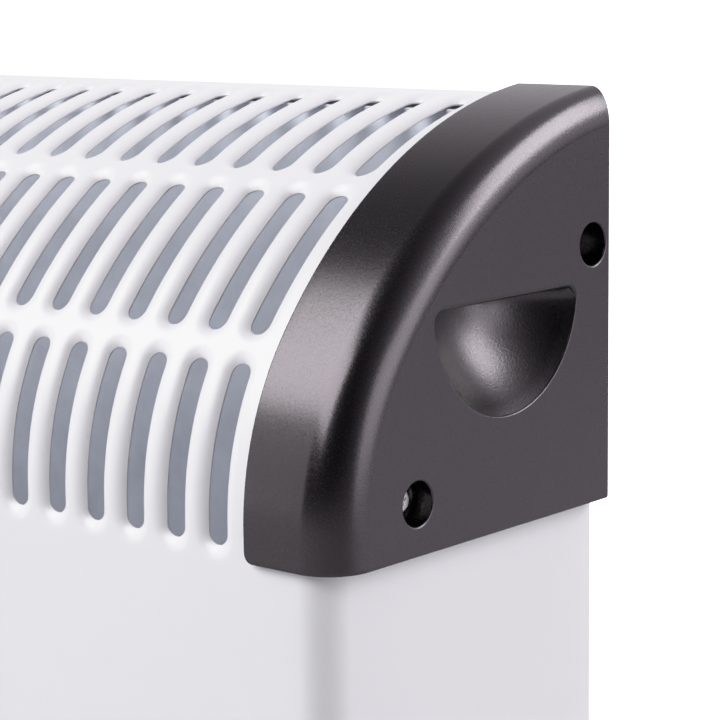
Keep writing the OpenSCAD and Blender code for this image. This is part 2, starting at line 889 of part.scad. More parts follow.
// Pressed bridge that carries one bearing; z is its face on the stack.
module motor_bridge() {
    difference() {
        union() {
            block([-6, -stack_y / 2, bridge_h - 1.2], [22, stack_y / 2, bridge_h]);
            for (s = [-1, 1]) {
                block([10, s * motor_screw[1] - 4, 0], [22, s * motor_screw[1] + 4, bridge_h]);
            }
            translate([0, 0, 5]) cylinder(r = 6, h = 8);
        }
        translate([0, 0, -eps]) cylinder(r = fan_shaft_r + running, h = 20);
        for (s = [-1, 1]) {
            translate([motor_screw[0], s * motor_screw[1], -eps]) cylinder(r = screw_hole_r, h = 20);
        }
    }
}

module motor_bridge_upper() {
    color("silver") translate([0, 0, motor_z + stack_h]) motor_bridge();
}

module motor_bridge_lower() {
    color("silver") translate([0, 0, motor_z]) mirror([0, 0, 1]) motor_bridge();
}

module motor_screws() {
    color("silver") for (s = [-1, 1]) {
        translate([motor_screw[0], s * motor_screw[1], motor_z + stack_h + bridge_h]) screw(40);
    }
}

module fan_bracket() {
    leg_z = case_z + panel_sheet;
    w = bracket_half;
    color("lightsteelblue") difference() {
        union() {
            block([-w, -w, bracket_z], [w, w, bracket_z + 1]);
            both_ends() {
                block([w - 1, -w, leg_z], [w, w, bracket_z + 1]);
                block([w - 1, -w, leg_z], [bracket_x + 8, w, leg_z + 1]);
            }
        }
        translate([0, 0, bracket_z - eps]) cylinder(r = vent_r, h = 4);
        for (a = [0:60:300]) {
            rotate(a + 30) translate([vent_ring, 0, bracket_z - eps]) cylinder(r = vent_r, h = 4);
        }
        for (s = [-1, 1]) {
            translate([motor_screw[0], s * motor_screw[1], bracket_z - eps])
                cylinder(r = screw_hole_r, h = 4);
        }
        for (x = [-1, 1], y = [-1, 1]) {
            translate([x * bracket_x, y * bracket_y, leg_z - eps]) cylinder(r = screw_hole_r, h = 4);
        }
    }
}

module ring(r, wire) {
    rotate_extrude() translate([r, 0]) circle(wire);
}

module fan_guard() {
    wire = 1;
    color("silver") translate([0, 0, case_z - 1.2]) {
        for (r = [guard_r - 1, 33, 22, 11]) {
            ring(r, wire);
        }
        for (a = [0:60:120]) {
            rotate(a) translate([0, 0, -0.6]) rotate([0, 90, 0])
                cylinder(r = wire * 0.9, h = 2 * guard_r - 2, center = true);
        }
    }
}

module terminal_block() {
    color("ivory") translate([terminal_at[0], terminal_at[1], case_z + panel_sheet]) difference() {
        block([-14, -8, 0], [14, 8, 14]);
        for (x = [-9, 0, 9]) {
            translate([x, -9, 7]) rotate([-90, 0, 0]) cylinder(r = 1.8, h = 20);
            translate([x, 0, 7]) cylinder(r = 2.2, h = 10);
        }
    }
}

module cord_bushing() {
    color("black") translate([cord_at[0], rear_y, cord_at[1]]) rotate([90, 0, 0]) difference() {
        union() {
            translate([0, 0, -4]) cylinder(r = 8, h = 4 + rear_y - rear_panel_y);
            cylinder(r = bushing_r, h = 10);
        }
        translate([0, 0, -6]) cylinder(r = cord_r, h = 20);
    }
}

// A wire through a list of points.
module wire(points, r = 1.1) {
    for (k = [0:len(points) - 2]) {
        run = points[k + 1] - points[k];
        translate(points[k]) rotate([0, acos(run[2] / norm(run)), atan2(run[1], run[0])])
            cylinder(r = r, h = norm(run), $fn = 16);
    }
    for (k = [1:len(points) - 2]) {
        translate(points[k]) sphere(r * 1.08, $fn = 16);
    }
}

module wiring() {
    back = tub_floor_x - housing_depth - 8.2;
    low = case_z + 26;
    color("white") for (k = [0:2]) {
        wire([
            [terminal_at[0] + 9 * (k - 1), terminal_at[1] - 8.5, case_z + 8],
            [terminal_at[0] + 9 * (k - 1), terminal_at[1] - 16 - 4 * k, case_z + 8],
            [back - 14 - 4 * k, -20 - 4 * k, low + 6 * k],
            [back - 10, rocker_y(k), rocker_z - 4.6],
            [back, rocker_y(k), rocker_z - 4.6]
        ]);
    }
}

front_shell();
rear_panel();
cap_brackets();
bottom_panel();
end_cap_right();
end_cap_left();
end_cap_screws();
rear_panel_screws();
foot_right();
foot_left();
foot_pads();
foot_screws();
control_panel();
control_panel_screws();
thermostat_knob();
thermostat_shaft();
thermostat_body();
low_heat_rocker();
high_heat_rocker();
fan_rocker();
low_heat_switch();
high_heat_switch();
fan_switch();
switch_terminals();
heat_shield();
shield_spacers();
element_frame();
element_brackets();
mica_cards();
ceramic_bushings();
low_heat_coil();
high_heat_coil();
thermal_cutout();
fan_impeller();
fan_shaft();
motor_rotor();
motor_stator();
motor_coil();
motor_bridge_upper();
motor_bridge_lower();
motor_screws();
fan_bracket();
fan_guard();
terminal_block();
cord_bushing();
wiring();
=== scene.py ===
"""Fan convector heater: the looks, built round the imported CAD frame.

Lengths in this file are millimetres in the frame's own axes; mesh() turns them into metres.
"""
import math
import bmesh
import bpy
from mathutils import Matrix, Vector
from mathutils.geometry import delaunay_2d_cdt


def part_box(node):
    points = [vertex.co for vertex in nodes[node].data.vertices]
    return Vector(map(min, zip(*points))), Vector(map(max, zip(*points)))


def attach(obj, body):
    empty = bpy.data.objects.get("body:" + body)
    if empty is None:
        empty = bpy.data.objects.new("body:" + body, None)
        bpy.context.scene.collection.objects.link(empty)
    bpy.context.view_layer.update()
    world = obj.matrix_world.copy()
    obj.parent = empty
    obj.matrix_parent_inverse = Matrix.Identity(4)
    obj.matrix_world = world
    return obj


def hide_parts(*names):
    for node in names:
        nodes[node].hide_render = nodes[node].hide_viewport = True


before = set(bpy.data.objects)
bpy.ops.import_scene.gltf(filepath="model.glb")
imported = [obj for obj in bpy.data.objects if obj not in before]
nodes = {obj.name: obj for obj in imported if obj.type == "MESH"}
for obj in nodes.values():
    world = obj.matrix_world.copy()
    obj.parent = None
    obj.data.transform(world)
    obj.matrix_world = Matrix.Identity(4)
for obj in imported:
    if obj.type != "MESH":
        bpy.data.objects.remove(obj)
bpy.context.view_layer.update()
MM, MICRON = 1e-3, 1e-6


def node_box(name):
    low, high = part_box(name)
    return [c / MM for c in low], [c / MM for c in high]


# ---------------------------------------------------------------- sizes taken from the frame
case_low, case_high = node_box("front_shell")
cap_low, cap_high = node_box("end_cap_right")
END_X = round(case_high[0], 2)
FRONT_Y, REAR_Y = round(case_low[1], 2), round(case_high[1], 2)
CASE_Z = round(case_low[2], 2)
HALF_L = round(cap_high[0], 2)
CAP_IN_X = round(cap_low[0], 2)
CAP_Z = round(cap_low[2], 2)
PROUD = round(FRONT_Y - cap_low[1], 2)

SHEET = 0.8       # casing sheet
CORNER_R = 9.5    # the casing's upright corners
BEND_R = 1.5      # its bends at the rear
LIP = 14          # how far the sheet turns in at the rear
GAP = 0.15        # clearance between a cap and the casing
WALL = 2          # wall of the caps

# The casing's side outline: a flat front, then two arcs that meet on a 3-4-5 direction.
FLAT = 7.8
LOWER_R, UPPER_R = 78.7, 145.5
LOWER_TURN = math.atan2(3, 4)
LOWER_C = (FRONT_Y + LOWER_R, CAP_Z + FLAT)
UPPER_C = (LOWER_C[0] + (UPPER_R - LOWER_R) * 0.8, LOWER_C[1] - (UPPER_R - LOWER_R) * 0.6)
LOWER_L = LOWER_R * LOWER_TURN

# Outlet grille
COLUMNS, PITCH = 35, 15
SLOT_W, SLOT_L = 6.5, 48.6
FIRST_SLOT, ROW_PITCH = 2.1, 57.1
DISH_W, DISH_DEPTH = 4.1, 1.95
DISH_R = (DISH_W ** 2 + DISH_DEPTH ** 2) / (2 * DISH_DEPTH)

# Cross-headed screws
SHANK_R, HEAD_R, HEAD_H = 1.75, 3.3, 2.0
THREAD_PITCH = 0.7


# ---------------------------------------------------------------- meshes
def placed(name, data):
    thing = bpy.data.objects.new(name, data)
    bpy.context.scene.collection.objects.link(thing)
    return thing


def mesh(name, points, faces, materials, body, slot, face_mats=None, sharp=35, stands_for=()):
    """Makes a piece from points in millimetres and lets it ride on a body."""
    data = bpy.data.meshes.new(name)
    data.from_pydata([[c * MM for c in p] for p in points], [], faces)
    for m in materials:
        data.materials.append(m)
    if face_mats:
        data.polygons.foreach_set("material_index", face_mats)
    data.polygons.foreach_set("use_smooth", [True] * len(data.polygons))
    data.validate()
    data.set_sharp_from_angle(angle=math.radians(sharp))
    piece = placed(name, data)
    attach(piece, body)
    if stands_for:
        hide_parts(*stands_for)
    return piece


class Skin:
    """A wall whose vertices each have a place on its outer and on its inner face."""

    def __init__(self):
        self.outer, self.inner, self.faces, self.mats, self.index = [], [], [], [], {}

    def vertex(self, outer, inner):
        key = tuple(round(c, 3) for c in outer)
        if key not in self.index:
            self.index[key] = len(self.outer)
            self.outer.append(outer)
            self.inner.append(inner)
        return self.index[key]

    def face(self, ids, mat=0):
        clean = [v for i, v in enumerate(ids) if v != ids[i - 1]]
        if len(clean) > 2:
            self.faces.append(clean)
            self.mats.append(mat)

    def band(self, ring_a, ring_b, closed=False, mat=0):
        n = len(ring_a)
        for i in range(n if closed else n - 1):
            j = (i + 1) % n
            self.face([ring_a[i], ring_a[j], ring_b[j], ring_b[i]], mat)

    def bands(self, rings, closed=False, mat=0, flip=False):
        for a, b in zip(rings, rings[1:]):
            self.band(*((b, a) if flip else (a, b)), closed, mat)

    def solid(self):
        n = len(self.outer)
        faces = list(self.faces)
        faces += [[v + n for v in reversed(f)] for f in self.faces]
        mats = self.mats * 2
        directed = {(f[i - 1], f[i]) for f in self.faces for i in range(len(f))}
        for f, m in zip(self.faces, self.mats):
            for i in range(len(f)):
                a, b = f[i - 1], f[i]
                if (b, a) not in directed:
                    faces.append([b, a, a + n, b + n])
                    mats.append(m)
        return self.outer + self.inner, faces, mats

    def make(self, name, materials, body, slot, sharp=35, stands_for=(), flip_x=False):
        points, faces, mats = self.solid()
        if flip_x:
            points = [(-x, y, z) for x, y, z in points]
            faces = [list(reversed(f)) for f in faces]
        return mesh(name, points, faces, materials, body, slot, mats, sharp, stands_for)


def ray(a):
    return -math.cos(a), math.sin(a)


def turns_of(count):
    return [2 * math.pi * i / count for i in range(count)]


def outline(s):
    """Point and outward direction of the casing's side outline, s round it from the caps' bottom edge."""
    if s <= FLAT:
        return FRONT_Y, CAP_Z + s, -1.0, 0.0
    if s <= FLAT + LOWER_L:
        a, c, r = (s - FLAT) / LOWER_R, LOWER_C, LOWER_R
    else:
        a, c, r = LOWER_TURN + (s - FLAT - LOWER_L) / UPPER_R, UPPER_C, UPPER_R
    ny, nz = ray(a)
    return c[0] + r * ny, c[1] + r * nz, ny, nz


# ---------------------------------------------------------------- materials
def node(tree, kind, values, **settings):
    """A shader node; values maps its sockets to values, or to the outputs that feed them."""
    made = tree.nodes.new("ShaderNode" + kind)
    for name, setting in settings.items():
        setattr(made, name, setting)
    for socket, value in values.items():
        if isinstance(value, bpy.types.NodeSocket):
            tree.links.new(value, made.inputs[socket])
        else:
            made.inputs[socket].default_value = value
    return made


def ramp(tree, source, stops):
    r = node(tree, "ValToRGB", {0: source})
    while len(r.color_ramp.elements) < len(stops):
        r.color_ramp.elements.new(0.5)
    for e, (at, value) in zip(r.color_ramp.elements, stops):
        e.position = at
        e.color = (value, value, value, 1) if isinstance(value, (int, float)) else (*value, 1)
    return r.outputs[0]


def noise(tree, coords, scale, detail, rough):
    values = {"Vector": coords, "Scale": scale, "Detail": detail, "Roughness": rough}
    return node(tree, "TexNoise", values).outputs["Fac"]


def mix(tree, fac, a, colour):
    return node(tree, "Mix", {0: fac, 6: a, 7: (*colour, 1)}, data_type="RGBA").outputs[2]


def bump(tree, height, strength, distance, under=None):
    values = {"Height": height, "Strength": strength, "Distance": distance}
    if under is not None:
        values["Normal"] = under
    return node(tree, "Bump", values).outputs[0]


def material(name, colour, rough, spread, blotch, grain, depth, metallic=0.0, specular=0.5, tint=None,
             strength=0.3, wave=0, wave_depth=0, rough_spread=0.06, wear=None, wear_at=0.56, stretch=None,
             coat=0.0, lit_end_colour=None):
    """A surface with blotches of colour, a grain in its relief and roughness, and optional worn edges.

    spread is the blotches' change of colour; blotch, grain and wave are scales, and depth and wave_depth
    are micrometres. With an end colour, faces that look along X take that lighter colour, painted light
    that stands for the light on the end faces, with a soft change on the rounded edges.
    """
    m = bpy.data.materials.new(name)
    m.use_nodes = True
    t = m.node_tree
    shader = t.nodes["Principled BSDF"]
    for socket, value in (("Metallic", metallic), ("Specular IOR Level", specular), ("Coat Weight", coat),
                          ("Coat Roughness", 0.3), ("Specular Tint", (*(tint or (1, 1, 1)), 1))):
        shader.inputs[socket].default_value = value
    coords = node(t, "TexCoord", {}).outputs["Object"]
    if stretch:
        coords = node(t, "Mapping", {"Vector": coords, "Scale": stretch}).outputs[0]
    big = noise(t, coords, blotch, 4, 0.55)
    fine = noise(t, coords, grain, 2, 0.6)
    dark = tuple(max(0.0, c * (1 - spread)) for c in colour)
    light = tuple(min(1.0, c * (1 + spread)) for c in colour)
    shade = ramp(t, big, [(0.3, dark), (0.7, light)])
    # painted light: faces that look along X are mixed towards a lighter colour, as if lit more than the band
    if lit_end_colour:
        facing = node(t, "SeparateXYZ", {0: node(t, "NewGeometry", {}).outputs["Normal"]})
        along = node(t, "Math", {0: facing.outputs["X"]}, operation="ABSOLUTE")
        shade = mix(t, ramp(t, along.outputs[0], [(0.84, 0.0), (0.995, 1.0)]), shade, lit_end_colour)
    if wear is not None:
        edge = node(t, "NewGeometry", {}).outputs["Pointiness"]
        shade = mix(t, ramp(t, edge, [(wear_at, 0.0), (wear_at + 0.08, 0.7)]), shade, wear)
    t.links.new(shade, shader.inputs["Base Color"])
    t.links.new(ramp(t, fine, [(0.25, rough - rough_spread), (0.75, rough + rough_spread)]),
                shader.inputs["Roughness"])
    normal = bump(t, fine, strength, depth * MICRON)
    if wave:
        normal = bump(t, noise(t, coords, wave, 2, 0.4), 0.5, wave_depth * MICRON, normal)
    t.links.new(normal, shader.inputs["Normal"])
    return m


white_paint = material(
    "white_powder_coat", (0.715, 0.705, 0.735), 0.33, 0.012, 9, 1400, 10, strength=0.15, wave=260,
    wave_depth=20, rough_spread=0.04, wear=(0.72, 0.71, 0.73), wear_at=0.66)
# painted light: the band's faces that look along X are mixed to the lighter end colour of the end face
cap_band_mat = material(
    "cap_grained_moulding", (0.003, 0.0024, 0.003), 0.25, 0.1, 30, 1700, 50, specular=0.85,
    tint=(1.0, 0.9, 0.98), strength=0.3, wave=900, wave_depth=10, rough_spread=0.05,
    lit_end_colour=(0.0165, 0.0128, 0.0165), wear=(0.05, 0.045, 0.05), wear_at=0.62)
# painted light: the end face's black is lighter than the band's, standing for the light on faces that look
# along X; the feet share this tone
cap_face_lit_mat = material(
    "cap_matt_lit_moulding", (0.0165, 0.0128, 0.0165), 0.31, 0.08, 22, 1900, 40, specular=0.85,
    tint=(1.0, 0.88, 0.98), strength=0.5, rough_spread=0.06, wave=420, wave_depth=20)
# painted shade: the hand recess's black is darker than the band's and the face's, standing for the shade
# inside the bowl
recess_shaded_mat = material(
    "recess_coarse_shaded_moulding", (0.002, 0.0016, 0.002), 0.31, 0.12, 60, 1500, 80, specular=0.85,
    tint=(1.0, 0.9, 0.98), strength=0.7, rough_spread=0.06, wave=700, wave_depth=40)
galvanised = material(
    "galvanised_sheet", (0.78, 0.82, 0.92), 0.45, 0.08, 60, 500, 10, metallic=0.25, strength=0.2, wave=35,
    wave_depth=100)
zinc = material(
    "bright_zinc_plate", (0.95, 0.95, 0.92), 0.38, 0.1, 300, 1500, 20, metallic=0.55,
    wear=(0.95, 0.95, 0.93))
rubber = material("matt_rubber", (0.022, 0.022, 0.023), 0.75, 0.2, 120, 1800, 50)
control_mat = material(
    "control_moulding", (0.024, 0.022, 0.025), 0.5, 0.08, 50, 3000, 30, strength=0.4,
    wear=(0.05, 0.047, 0.05))
knob_mat = material("knob_moulding", (0.02, 0.019, 0.021), 0.42, 0.1, 80, 2200, 20, wear=(0.06, 0.057, 0.06))
rocker_mat = material(
    "polished_rocker", (0.012, 0.012, 0.013), 0.2, 0.15, 150, 1200, 6, rough_spread=0.04,
    wear=(0.03, 0.03, 0.03))
mark_mat = material("printed_mark", (0.75, 0.74, 0.72), 0.5, 0.05, 400, 2500, 10)
bakelite = material("moulded_phenolic", (0.15, 0.07, 0.03), 0.4, 0.25, 220, 900, 30, wear=(0.25, 0.14, 0.07))
steel = material("turned_steel", (0.56, 0.56, 0.57), 0.3, 0.08, 90, 1600, 20, metallic=1.0)
brass = material(
    "tinned_brass", (0.72, 0.56, 0.27), 0.32, 0.12, 200, 1200, 20, metallic=1.0, wear=(0.8, 0.78, 0.7))
mica = material("flaky_mica", (0.42, 0.33, 0.2), 0.38, 0.28, 260, 700, 100, strength=0.6, coat=0.3)
ceramic = material("unglazed_ceramic", (0.72, 0.68, 0.58), 0.6, 0.07, 200, 1500, 40)
wire = material("oxidised_wire", (0.16, 0.13, 0.115), 0.42, 0.25, 350, 1500, 30, metallic=0.9)
fan_mat = material("fan_moulding", (0.035, 0.035, 0.04), 0.46, 0.08, 60, 2400, 30, wear=(0.07, 0.07, 0.075))
lamination = material(
    "stacked_laminations", (0.2, 0.2, 0.22), 0.45, 0.2, 160, 1000, 80, metallic=0.85, strength=0.5,
    stretch=(1, 1, 14))
winding = material(
    "taped_winding", (0.3, 0.055, 0.03), 0.5, 0.2, 180, 900, 100, strength=0.5, stretch=(1, 1, 6))
plated_wire = material("plated_guard_wire", (0.66, 0.66, 0.68), 0.24, 0.08, 200, 1500, 10, metallic=1.0)
terminal_mat = material(
    "terminal_moulding", (0.74, 0.71, 0.64), 0.45, 0.06, 140, 1800, 20, wear=(0.8, 0.78, 0.72))
sleeve = material("glass_fibre_sleeve", (0.66, 0.65, 0.61), 0.7, 0.12, 500, 2600, 100, strength=0.7)


# ---------------------------------------------------------------- casing shell
def slot_ring(offset, straight=14, arc=12):
    """Points round a slot, offset outwards, as (x, s) about the slot's middle, anticlockwise."""
    r = SLOT_W / 2 + offset
    h = (SLOT_L - SLOT_W) / 2
    right = [(r, -h + 2 * h * i / straight) for i in range(straight)]
    top = [(r * math.cos(math.pi * i / arc), h + r * math.sin(math.pi * i / arc)) for i in range(arc)]
    return right + top + [(-x, -s) for x, s in right + top]


def cell_ring(below, above, straight=14, arc=12):
    """The cell's rectangle with one point for each point of slot_ring()."""
    a, h = PITCH / 2, (SLOT_L - SLOT_W) / 2
    quarter = arc // 4

    def corner(i, reach):
        if i <= quarter:
            return a, h + (reach - h) * i / quarter
        if i <= 3 * quarter:
            return a * (1 - (i - quarter) / quarter), reach
        return -a, reach - (reach - h) * (i - 3 * quarter) / quarter

    right = [(a, -h + 2 * h * i / straight) for i in range(straight)]
    top = [corner(i, above) for i in range(arc)]
    bottom = [corner(i, below) for i in range(arc)]
    return right + top + [(-x, -s) for x, s in right] + [(-x, -s) for x, s in bottom]


def dish_depth(t):
    """Depth of a slot's dished border, t from 0 at the opening to 1 at its outer edge."""
    return DISH_R - math.sqrt(DISH_R ** 2 - (DISH_W * (1 - t)) ** 2)


def on_shell(x, s, depth=0.0, thick=SHEET):
    y, z, ny, nz = outline(s)
    back = depth + thick
    return (x, y - ny * depth, z - nz * depth), (x, y - ny * back, z - nz * back)


def rear_edge_samples():
    """The bend at the top's rear edge and the lip below it, as (outer y, z, inner y, z)."""
    r = BEND_R
    cy = REAR_Y - r
    start = math.acos((UPPER_C[0] - cy) / (UPPER_R - r))
    cz = UPPER_C[1] + (UPPER_R - r) * math.sin(start)
    samples = []
    for i in range(7):
        ny, nz = ray(start + (math.pi - start) * i / 6)
        samples.append((cy + r * ny, cz + r * nz, cy + (r - SHEET) * ny, cz + (r - SHEET) * nz))
    samples.append((REAR_Y, cz - LIP + r, REAR_Y - SHEET, cz - LIP + r))
    return samples


def panel_gap(axis, half):
    """Edge, middle and edge of the opening for the control panel."""
    low, high = node_box("control_panel")
    middle = (low[axis] + high[axis]) / 2
    return middle - half, middle, middle + half


def wrap_path():
    """The casing's right end in plan, from the front round to the rear lip, as (outer x, y, inner x, y)."""
    cx, cy = END_X - CORNER_R, FRONT_Y + CORNER_R
    path = []
    for i in range(9):
        a = math.radians(90 * i / 8)
        c, s, inner = math.cos(a), math.sin(a), CORNER_R - SHEET
        path.append((cx + CORNER_R * s, cy - CORNER_R * c, cx + inner * s, cy - inner * c))
    for y in (*PANEL_GAP_Y, REAR_CREASE_Y):
        path.append((END_X, y, END_X - SHEET, y))
    for i in range(6):
        a = math.radians(90 * i / 5)
        c, s, inner = math.cos(a), math.sin(a), BEND_R - SHEET
        path.append((END_X - BEND_R + BEND_R * c, REAR_Y - BEND_R + BEND_R * s,
                     END_X - BEND_R + inner * c, REAR_Y - BEND_R + inner * s))
    path.append((END_X - LIP, REAR_Y, END_X - LIP, REAR_Y - SHEET))
    return path


PANEL_GAP_Y, PANEL_GAP_Z = panel_gap(1, 27.65), panel_gap(2, 53.65)
REAR_CREASE_Y = 45
MID_LEVELS = (225, 258)


def build_shell():
    """The folded sheet: slotted top, flat front, and the ends that it wraps into."""
    skin = Skin()
    rings = [k / 8 for k in range(9)]
    rows_s = set()
    for row in range(3):
        middle = FIRST_SLOT + row * ROW_PITCH + SLOT_L / 2
        reach = ROW_PITCH / 2
        for x, s in cell_ring(reach, reach):
            if x == PITCH / 2:
                rows_s.add(round(middle + s, 4))
        rows_s.update((round(middle - reach, 4), round(middle + reach, 4)))
        for column in range(COLUMNS):
            xc = (column - (COLUMNS - 1) / 2) * PITCH
            loops = []
            for t in rings:
                thick = SHEET if t else SHEET / 2
                loops.append([skin.vertex(*on_shell(xc + x, middle + s, dish_depth(t), thick))
                              for x, s in slot_ring(t * DISH_W)])
            loops.append([skin.vertex(*on_shell(xc + x, middle + s)) for x, s in cell_ring(reach, reach)])
            skin.bands(loops, closed=True, flip=True)
    rows_s = sorted(rows_s)
    edge_x = COLUMNS * PITCH / 2
    flat_half = END_X - CORNER_R
    side_x = [edge_x, edge_x + 5, edge_x + 12, flat_half]
    for sign in (1, -1):
        columns = [[skin.vertex(*on_shell(sign * x, s)) for s in rows_s] for x in side_x]
        skin.bands(columns, flip=sign > 0)
    inner_x = [round(-edge_x + PITCH / 6 * i, 4) for i in range(COLUMNS * 6 + 1)]
    grid_x = [-x for x in reversed(side_x[1:])] + inner_x + side_x[1:]
    # the top behind the last slots, with the bend and lip at its rear edge
    top_lines = [[skin.vertex(*on_shell(x, s)) for x in grid_x] for s in (rows_s[-1], rows_s[-1] + 2)]
    for oy, oz, iy, iz in rear_edge_samples():
        top_lines.append([skin.vertex((x, oy, oz), (x, iy, iz)) for x in grid_x])
    skin.bands(top_lines)
    # the flat front, and the ends and rear lips it wraps into
    z_levels = [CASE_Z, CASE_Z + 2, *PANEL_GAP_Z, *MID_LEVELS, CAP_Z + rows_s[0]]
    skin.bands([[skin.vertex((x, FRONT_Y, z), (x, FRONT_Y + SHEET, z)) for x in grid_x] for z in z_levels])
    path = wrap_path()
    z_levels += [CAP_Z + s for s in rows_s[1:3]]
    for sign in (1, -1):
        lines = [[skin.vertex((sign * ox, oy, z), (sign * ix, iy, z)) for ox, oy, ix, iy in path]
                 for z in z_levels]
        for k, (a, b) in enumerate(zip(lines, lines[1:])):
            for i in range(len(a) - 1):
                z, y = z_levels[k], path[i][1]
                on_end = path[i][0] == END_X
                in_gap = all(gap[0] - 1 < at < gap[2] - 1 for at, gap in ((y, PANEL_GAP_Y), (z, PANEL_GAP_Z)))
                if sign > 0 and on_end and in_gap:
                    continue
                quad = [a[i], a[i + 1], b[i + 1], b[i]]
                skin.face(quad if sign > 0 else quad[::-1])
    return skin.make("casing_shell", [white_paint], "casing", "white_sheet", stands_for=["front_shell"])


def slab(loop, x0, x1):
    """Points and faces of a flat sheet from x0 to x1, with an anticlockwise outline of (y, z)."""
    n = len(loop)
    points = [(x0, y, z) for y, z in loop] + [(x1, y, z) for y, z in loop]
    faces = [list(range(n - 1, -1, -1)), list(range(n, 2 * n))]
    faces += [[i, (i + 1) % n, (i + 1) % n + n, i + n] for i in range(n)]
    return points, faces


def joined(parts):
    points, faces = [], []
    for more_points, more_faces in parts:
        base = len(points)
        points += more_points
        faces += [[v + base for v in f] for f in more_faces]
    return points, faces


def inside_loop(p, loop):
    inside = False
    for a, b in zip([loop[-1], *loop], loop):
        if (a.y > p.y) != (b.y > p.y) and p.x < (b.x - a.x) * (p.y - a.y) / (b.y - a.y) + a.x:
            inside = not inside
    return inside


def filled(loops):
    """Triangles between an outline and the holes that follow it, as places in the joined loops."""
    loops = [[Vector(c) for c in loop] for loop in loops]
    flat, edges = [], []
    for loop in loops:
        base, n = len(flat), len(loop)
        flat += loop
        edges += [(base + i, base + (i + 1) % n) for i in range(n)]
    made, _, triangles, origin, _, _ = delaunay_2d_cdt(flat, edges, [], 0, 1e-6)
    kept = []
    for triangle in triangles:
        a, b, c = (made[i] for i in triangle)
        middle = (a + b + c) / 3
        if inside_loop(middle, loops[0]) and not any(inside_loop(middle, hole) for hole in loops[1:]):
            tri = [origin[i][0] for i in triangle]
            kept.append(tri if (b - a).cross(c - a) >= 0 else tri[::-1])
    return kept


def pierced(outer, holes, x0, x1):
    """Points and faces of a flat sheet from x0 to x1; the outlines of (y, z) run anticlockwise."""
    loops = [outer] + holes
    n = sum(len(loop) for loop in loops)
    points = [(x, *c) for x in (x0, x1) for loop in loops for c in loop]
    faces = []
    for tri in filled(loops):
        faces += [tri[::-1], [v + n for v in tri]]
    base = 0
    for k, loop in enumerate(loops):
        for i in range(len(loop)):
            a, b = base + i, base + (i + 1) % len(loop)
            quad = [a, b, b + n, a + n]
            faces.append(quad[::-1] if k else quad)
        base += len(loop)
    return points, faces


def build_end_plates():
    """The shell's set-in ends, cut away round the hand recess and the rear screw's well."""
    inset, low, back = 8, CAP_Z + 2.2, REAR_Y - 2.4
    high = RECESS_AT[1] + 4
    run = [outline(2.2 + 2.5 * k) for k in range(80)]
    front = [(y - ny * inset, z - nz * inset) for y, z, ny, nz in run]
    front = [c for c in front if c[1] >= low and c[0] < back]
    sy, sz = REAR_SCREW
    notch = [(back, sz - 10), (sy - 5, sz - 10), (sy - 5, sz - 5), (sy - 10, sz - 5), (sy - 10, sz + 10),
             (back, sz + 10)]
    outer = [(back, low), *notch, (back, front[-1][1]), *reversed(front)]
    hole = [(RECESS_AT[0] + u, RECESS_AT[1] + v)
            for u, v, *_ in half_disc(RECESS_R + 1.5, 0.0, RECESS_CORNER)]
    hole = [(y, high if z > RECESS_AT[1] - 1 else z) for y, z in hole][::-1]
    well = [(FRONT_SCREW[0] + SHANK_R * math.cos(a), FRONT_SCREW[1] + SHANK_R * math.sin(a))
            for a in turns_of(24)]
    half = SHEET / 2
    parts = [pierced(outer, [hole, well], x - half, x + half) for x in (PLATE_X - half, half - PLATE_X)]
    mesh("shell_end_plates", *joined(parts), [white_paint], "casing", "white_sheet",
         stands_for=["front_shell"])


def weld(piece, distance):
    piece.modifiers.new("weld", "WELD").merge_threshold = distance * MM


def flatten(piece):
    """Keeps the shading of large faces flat."""
    m = piece.modifiers.new("flat_faces", "WEIGHTED_NORMAL")
    m.keep_sharp = True
    m.weight = 80


def soften(piece, width):
    """Rounds a piece's sharp edges with modifiers."""
    weld(piece, 0.01)
    m = piece.modifiers.new("soft_edges", "BEVEL")
    m.width = width * MM
    m.segments = 2
    m.limit_method = "ANGLE"
    m.angle_limit = math.radians(35)
    m.harden_normals = False
    flatten(piece)


# ---------------------------------------------------------------- end caps
# The big rounded edge: one radius at the bottom; at the top it reaches less far along X than inwards.
BLEND_LOW, BLEND_HIGH, BLEND_IN_HIGH = 12.5, 6.0, 10.5
EDGE = 0.6        # radius of the small edges at the rear and bottom
EDGE_STEPS = (0.3, 0.12, 0.03, 0)
UPPER_L = 116     # the upper arc's length over a cap
LEAD_R = 3        # rounded corner at the band's lower inner end
RECESS_AT = (REAR_Y - 46.4, CAP_Z + 61.3)
RECESS_R, RECESS_DEPTH, RECESS_CORNER = 30.6, 17, 3.2
RECESS_BALL = (RECESS_R ** 2 + RECESS_DEPTH ** 2) / (2 * RECESS_DEPTH)
WELL_R = 5.9
FRONT_SCREW = (REAR_Y - 84.3, CAP_Z + 13.8)
REAR_SCREW = (REAR_Y - 8, CAP_Z + 71.9)
PLATE_X = END_X - 3.5
REAR_HALF = HALF_L - 14
BAND, FACE, RECESS = 0, 1, 2   # places in a cap's list of materials


def edge_inset(t):
    """How far a rounded edge has fallen back at a distance t from the corner it replaces."""
    return 0.0 if t >= EDGE else EDGE - math.sqrt(EDGE ** 2 - (EDGE - t) ** 2)


def cap_rows():
    """Places along the cap, as (kind, value, progress).

    The value is a height, an angle, a share of the upper arc, or a distance from the rear face.
    """
    rows = [("flat", v) for v in (0, 0.06, 0.2, 0.6, 1.2, 2.1, 3, 5.4, 7.8)]
    rows += [("lower", LOWER_TURN * i / 16) for i in range(1, 17)]
    rows += [("upper", i / 30) for i in range(1, 31)]
    rows += [("rear", v) for v in EDGE_STEPS]
    total = FLAT + LOWER_L + UPPER_L
    out = []
    for kind, v in rows:
        run = {"flat": v, "lower": FLAT + LOWER_R * v, "upper": FLAT + LOWER_L + UPPER_L * v, "rear": total}
        out.append((kind, v, run[kind] / total))
    return out


